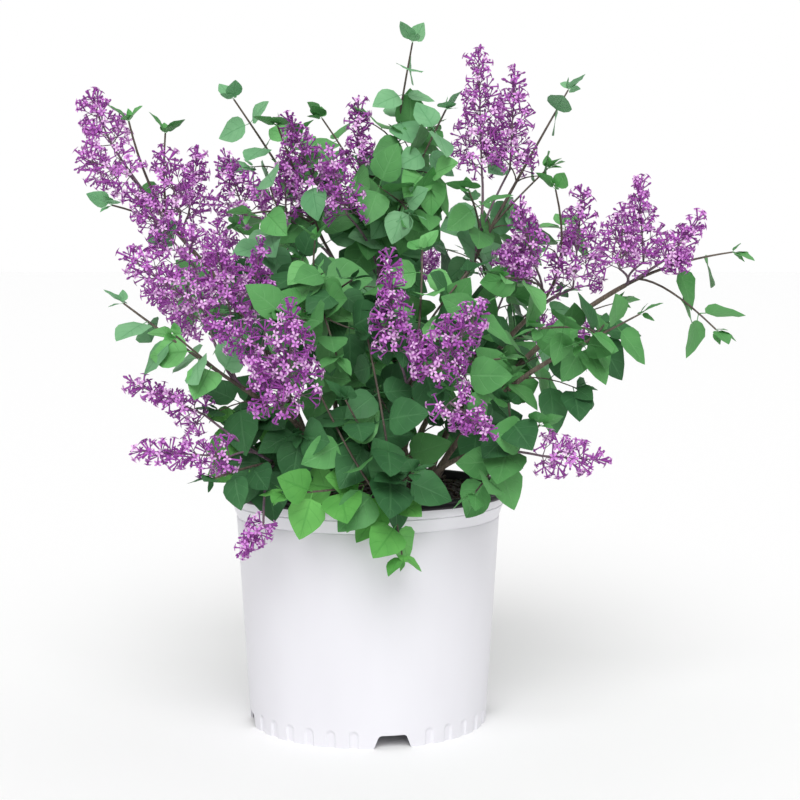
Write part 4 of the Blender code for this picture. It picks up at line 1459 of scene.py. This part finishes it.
@dataclass
class Pot:
    """The nursery pot: a white shell with a fluted foot, and a black lip and lining."""

    height: float = 0.235
    lip_radius: float = 0.140
    lip_height: float = 0.0085
    lip_inner_radius: float = 0.1325
    lip_edge: float = 0.0012
    bead_depth: float = 0.0011
    band_radius: float = 0.1338
    band_drops: tuple[float, float] = (0.008, 0.021)
    body_top_radius: float = 0.130
    foot_radius: float = 0.1175
    wall: float = 0.002
    gap: float = 0.0001
    floor_underside: float = 0.013
    floor_top: float = 0.015
    pad_radius: float = 0.030
    hub_radius: float = 0.0004
    notches: int = 4
    notch_first_deg: float = -78.8
    notch_foot_width: float = 0.041
    notch_top_width: float = 0.026
    notch_height: float = 0.0125
    notch_depth: float = 0.016
    notch_corner: float = 0.0025
    flutes: int = 6
    flute_pitch_deg: float = 10.8
    flute_half_width: float = 0.0046
    flute_height: float = 0.0165
    flute_depth: float = 0.0017
    flute_edge: float = 0.0014
    groove_depth: float = 0.0006
    wall_rings: tuple[float, ...] = (0.19, 0.17, 0.14, 0.11, 0.08, 0.05, 0.03, 0.021)
    foot_rings: int = 15
    foot_ring_step: float = 0.0012
    foot_ring_lead: float = 0.0015
    inner_foot: float = 0.02
    shell_sharp_deg: float = 35.0
    lip_sharp_deg: float = 40.0
    steps: int = 720

    def __post_init__(self) -> None:
        """Works out the heights of the lip's foot and of the two bands under it."""
        self.lip_foot = self.height - self.lip_height
        self.upper, self.lower = (self.lip_foot - drop for drop in self.band_drops)

    def radius_at(self, height: float) -> float:
        """The outer radius of the wall at a height, below the band."""
        return self.foot_radius + (self.body_top_radius - self.foot_radius) * height / self.lower

    def flute(self, angle: float, height: float) -> float:
        """How far a flute sinks the foot's face in.

        Args:
            angle: the place round the pot, in radians.
            height: the place up the wall.

        Returns:
            The depth in metres.
        """
        sector = 360.0 / self.notches
        turn = (math.degrees(angle) - self.notch_first_deg) % sector - sector / 2
        first = -self.flute_pitch_deg * (self.flutes - 1) / 2
        index = min(self.flutes - 1, max(0, round((turn - first) / self.flute_pitch_deg)))
        off = math.radians(turn - first - index * self.flute_pitch_deg) * self.foot_radius
        rise = max(0.0, height - (self.flute_height - self.flute_half_width))
        edge = (self.flute_half_width - math.hypot(off, rise)) / self.flute_edge
        return self.flute_depth * max(0.0, min(1.0, edge))

    def revolved(self, name: str, profile: Profile, fluted: range = range(0)) -> bpy.types.Object:
        """Turns a profile round the pot's axis.

        Args:
            name: the object's name.
            profile: radius and height of each point, as a closed loop.
            fluted: the points that take the flutes.

        Returns:
            The new object.
        """
        shape = bmesh.new()
        rings = []
        for index, (radius, height) in enumerate(profile):
            ring = []
            for step in range(self.steps):
                angle = FULL * step / self.steps
                r = radius - (self.flute(angle, height) if index in fluted else 0.0)
                ring.append(shape.verts.new((r * math.cos(angle), r * math.sin(angle), height)))
            rings.append(ring)
        for low, high in zip(rings, rings[1:] + rings[:1]):
            for step in range(self.steps):
                after = (step + 1) % self.steps
                shape.faces.new((low[step], low[after], high[after], high[step]))
        bmesh.ops.recalc_face_normals(shape, faces=shape.faces)
        return from_shape(name, shape)

    def groove(self, radius: float, height: float) -> Profile:
        """The fine line where two bands of the wall meet."""
        turns = ((0.0, 2.0), (-0.3, 1.2), (-1.0, 0.6), (-1.0, -0.6), (-0.3, -1.2), (0.0, -2.0))
        return [(radius + self.groove_depth * out, height + self.groove_depth * up) for out, up in turns]

    def notch_cutter(self, turn_deg: float) -> bpy.types.Object:
        """The block that cuts a drain notch, with sloping sides and rounded upper corners.

        Args:
            turn_deg: the notch's place round the pot.

        Returns:
            The block.
        """
        shape = bmesh.new()
        bmesh.ops.create_cube(shape, size=1.0)
        for vert in shape.verts:
            top = vert.co.z > 0.0
            vert.co.x *= self.notch_depth
            vert.co.y *= self.notch_top_width if top else self.notch_foot_width
            vert.co.z = self.notch_height if top else -self.notch_height / 2
        upper = [e for e in shape.edges if all(v.co.z > 0.0 for v in e.verts)]
        upper = [e for e in upper if abs(e.verts[0].co.x - e.verts[1].co.x) > self.notch_depth / 2]
        bmesh.ops.bevel(shape, geom=upper, offset=self.notch_corner, segments=4, profile=0.5, affect="EDGES")
        turn = Matrix.Rotation(math.radians(turn_deg), 4, "Z")
        move = turn @ Matrix.Translation((self.foot_radius, 0.0, 0.0))
        bmesh.ops.transform(shape, matrix=move, verts=shape.verts)
        return from_shape("notch", shape)

    def finished(self, obj: bpy.types.Object, finish: Finish, sharp_deg: float) -> bpy.types.Object:
        """Cuts, smooths and dresses a piece of the pot.

        Args:
            obj: the piece.
            finish: its finish.
            sharp_deg: edges over this angle stay sharp.

        Returns:
            The same object.
        """
        mesh = baked(obj)
        mesh.shade_smooth()
        mesh.set_sharp_from_angle(angle=math.radians(sharp_deg))
        mesh.materials.clear()
        mesh.materials.append(finish.material())
        return worn(obj, ["pot"])

    def shell(self) -> bpy.types.Object:
        """Makes the white shell, from under the lip to the floor and its pad.

        Returns:
            The piece.
        """
        half = self.wall / 2
        face = [(self.band_radius, self.lip_foot)]
        face += self.groove(self.band_radius, self.upper) + self.groove(self.body_top_radius, self.lower)
        face += [(self.radius_at(z), z) for z in self.wall_rings]
        first = self.flute_height + self.foot_ring_lead
        rises = [first - self.foot_ring_step * i for i in range(self.foot_rings)]
        foot = [(self.radius_at(z), z) for z in rises + [0.0]]
        foot += [(self.foot_radius - self.wall, 0.0)]
        under = [(self.foot_radius - self.wall, self.floor_underside)]
        under += [(self.pad_radius, self.floor_underside), (self.pad_radius, 0.0)]
        under += [(self.hub_radius, 0.0), (self.hub_radius, self.floor_top - half)]
        under += [(self.radius_at(self.floor_top) - self.wall - self.gap, self.floor_top - half)]
        inner = [(self.radius_at(self.inner_foot) - half, self.inner_foot)]
        inner += [(self.body_top_radius - half, self.lower)]
        inner += [(self.band_radius - half, self.upper), (self.band_radius - half, self.lip_foot)]
        fluted = range(len(face), len(face) + len(foot))
        obj = self.revolved("pot_shell", face + foot + under + inner, fluted)
        turns = [self.notch_first_deg + index * 360.0 / self.notches for index in range(self.notches)]
        cutters = [self.notch_cutter(turn) for turn in turns]
        for cutter in cutters:
            cut = obj.modifiers.new("notch", "BOOLEAN")
            cut.operation = "DIFFERENCE"
            cut.object = cutter
            cut.solver = "EXACT"
        self.finished(obj, WHITE_PLASTIC, self.shell_sharp_deg)
        for cutter in cutters:
            bpy.data.objects.remove(cutter)
        return obj

    def lip(self) -> bpy.types.Object:
        """Makes the rolled black lip with its bead line, and the lining down to the soil.

        Returns:
            The piece.
        """
        bead, edge, foot = self.lip_height / 2, self.lip_edge, self.lip_foot
        line = self.lip_radius - self.bead_depth
        loop = [(self.lip_inner_radius, self.height - edge), (self.lip_inner_radius + edge, self.height)]
        loop += self.arc((self.lip_radius - bead * 0.62, self.height - bead * 0.5), bead * 0.5, 90.0, -60.0)
        loop += [(line, foot + bead * 1.02), (line, foot + bead * 0.98)]
        loop += self.arc((self.lip_radius - bead * 0.52, foot + bead * 0.5), bead * 0.5, 60.0, -90.0)
        loop += [(self.band_radius + 2 * self.gap, foot)]
        loop += [(self.band_radius - self.wall / 2 - self.gap, foot)]
        loop += [(self.body_top_radius - self.wall / 2 - self.gap, self.lower)]
        loop += [(self.body_top_radius - self.wall, self.lower), (self.band_radius - self.wall, self.upper)]
        return self.finished(self.revolved("pot_lip", loop), BLACK_PLASTIC, self.lip_sharp_deg)

    def arc(self, centre: tuple, radius: float, start: float, end: float, steps: int = 8) -> Profile:
        """Points of a round stretch of a profile, by its angles in degrees."""
        turns = [math.radians(start + (end - start) * i / steps) for i in range(steps + 1)]
        return [(centre[0] + radius * math.cos(t), centre[1] + radius * math.sin(t)) for t in turns]

    def build(self) -> list[bpy.types.Object]:
        """Builds the shell and the lip."""
        return [self.shell(), self.lip()]


@dataclass
class Soil:
    """The potting mix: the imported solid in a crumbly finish, with bark chips on it."""

    top: float
    radius: float = 0.126
    chips: int = 900
    seed: int = 31
    unevenness: float = 0.001
    tilt: float = 0.5
    turn_most: float = 6.28
    size_spread: tuple[float, float] = (0.5, 1.3)

    def build(self) -> list[bpy.types.Object]:
        """Dresses the solid and scatters the chips.

        Returns:
            The chips as one piece.
        """
        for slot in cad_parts["soil"].material_slots:
            slot.material = SOIL_SKIN.material()
        chance = Dice(self.seed)
        spots = Spots()
        for _ in range(self.chips):
            angle, reach = chance.uniform(0.0, FULL), self.radius * math.sqrt(chance.random())
            height = self.top + chance.uniform(-self.unevenness, self.unevenness)
            place = Vector((reach * math.cos(angle), reach * math.sin(angle), height))
            aim = side_of(UP, chance.uniform(0.0, self.turn_most))
            spots.put(place, aim, UP + jitter(chance, self.tilt), chance.uniform(*self.size_spread))
        obj = chip_grower().grow(spots.mesh("bark_chips"), CHIP_SKIN)
        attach(obj, BODY)
        return [obj]


# The studio


@dataclass
class Studio:
    """A pale floor, soft lights and the photograph's camera."""

    eye: Triple = (0.0, -1.697, 0.4634)
    pitch_deg: float = 4.887
    yaw_deg: float = 1.067
    lens_mm: float = 77.49
    sensor_mm: float = 36.0
    surround: float = 0.50
    floor_reach: float = 40.0

    def floor(self) -> None:
        """Lays a wide pale floor."""
        shape = bmesh.new()
        bmesh.ops.create_grid(shape, x_segments=1, y_segments=1, size=self.floor_reach)
        obj = from_shape("floor", shape)
        obj.data.materials.append(FLOOR_PAPER.material())

    def light(self, name: str, source: Triple, spread_deg: float, strength: float) -> None:
        """A broad soft light that falls evenly on everything.

        Args:
            name: its name.
            source: the direction that it comes from.
            spread_deg: how wide its source looks, in degrees.
            strength: its strength in watts to the square metre.
        """
        lamp = bpy.data.lights.new(name, "SUN")
        lamp.angle = math.radians(spread_deg)
        lamp.energy = strength
        obj = new_object(name, lamp)
        obj.matrix_world = (-Vector(source)).to_track_quat("-Z", "Y").to_matrix().to_4x4()

    def camera(self) -> None:
        """The camera at the photograph's angle."""
        lens = bpy.data.cameras.new("camera")
        lens.lens = self.lens_mm
        lens.sensor_width = self.sensor_mm
        obj = new_object("camera", lens)
        turn = Matrix.Rotation(math.radians(-self.yaw_deg), 4, "Z")
        turn = turn @ Matrix.Rotation(math.radians(90.0 - self.pitch_deg), 4, "X")
        obj.matrix_world = Matrix.Translation(self.eye) @ turn
        bpy.context.scene.camera = obj

    def world(self) -> None:
        """An even white surround, which lights less than it shows."""
        world = bpy.data.worlds.new("surround")
        world.use_nodes = True
        world.node_tree.nodes.clear()
        graph = Graph(world.node_tree)
        seen = graph.add("ShaderNodeLightPath").out("Is Camera Ray")
        sockets = {"Color": (1.0, 1.0, 1.0, 1.0), "Strength": self.surround + seen * (1.0 - self.surround)}
        glow = graph.add("ShaderNodeBackground", sockets).out()
        graph.add("ShaderNodeOutputWorld", {"Surface": glow})
        bpy.context.scene.world = world

    def build(self) -> None:
        """Sets up the floor, the lights, the surround and the camera."""
        self.floor()
        self.world()
        self.light("key", (-0.05, -1.0, 0.95), 40.0, 1.90)
        self.light("top", (0.10, 0.25, 1.0), 60.0, 0.40)
        self.camera()
        bpy.context.scene.view_settings.view_transform = "Standard"


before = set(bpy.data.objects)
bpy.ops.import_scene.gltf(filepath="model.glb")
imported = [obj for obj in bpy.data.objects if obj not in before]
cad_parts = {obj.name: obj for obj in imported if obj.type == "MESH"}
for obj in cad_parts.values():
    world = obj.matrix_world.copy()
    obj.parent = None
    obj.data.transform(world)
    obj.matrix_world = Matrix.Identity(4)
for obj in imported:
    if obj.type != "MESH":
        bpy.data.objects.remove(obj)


def main() -> None:
    """Builds the studio and every sub-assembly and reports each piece."""
    logging.basicConfig(level=logging.INFO, format="%(name)s: %(message)s")
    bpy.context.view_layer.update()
    soil_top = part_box("soil")[1].z
    Studio().build()
    boughs = Boughs(soil_top)
    for assembly in (Pot(), Soil(soil_top), boughs, Foliage(boughs), Panicles(boughs)):
        for piece in assembly.build():
            log.info("%s: %s, %d faces", type(assembly).__name__, piece.name, len(piece.data.polygons))
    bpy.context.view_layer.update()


if __name__ == "__main__":
    main()
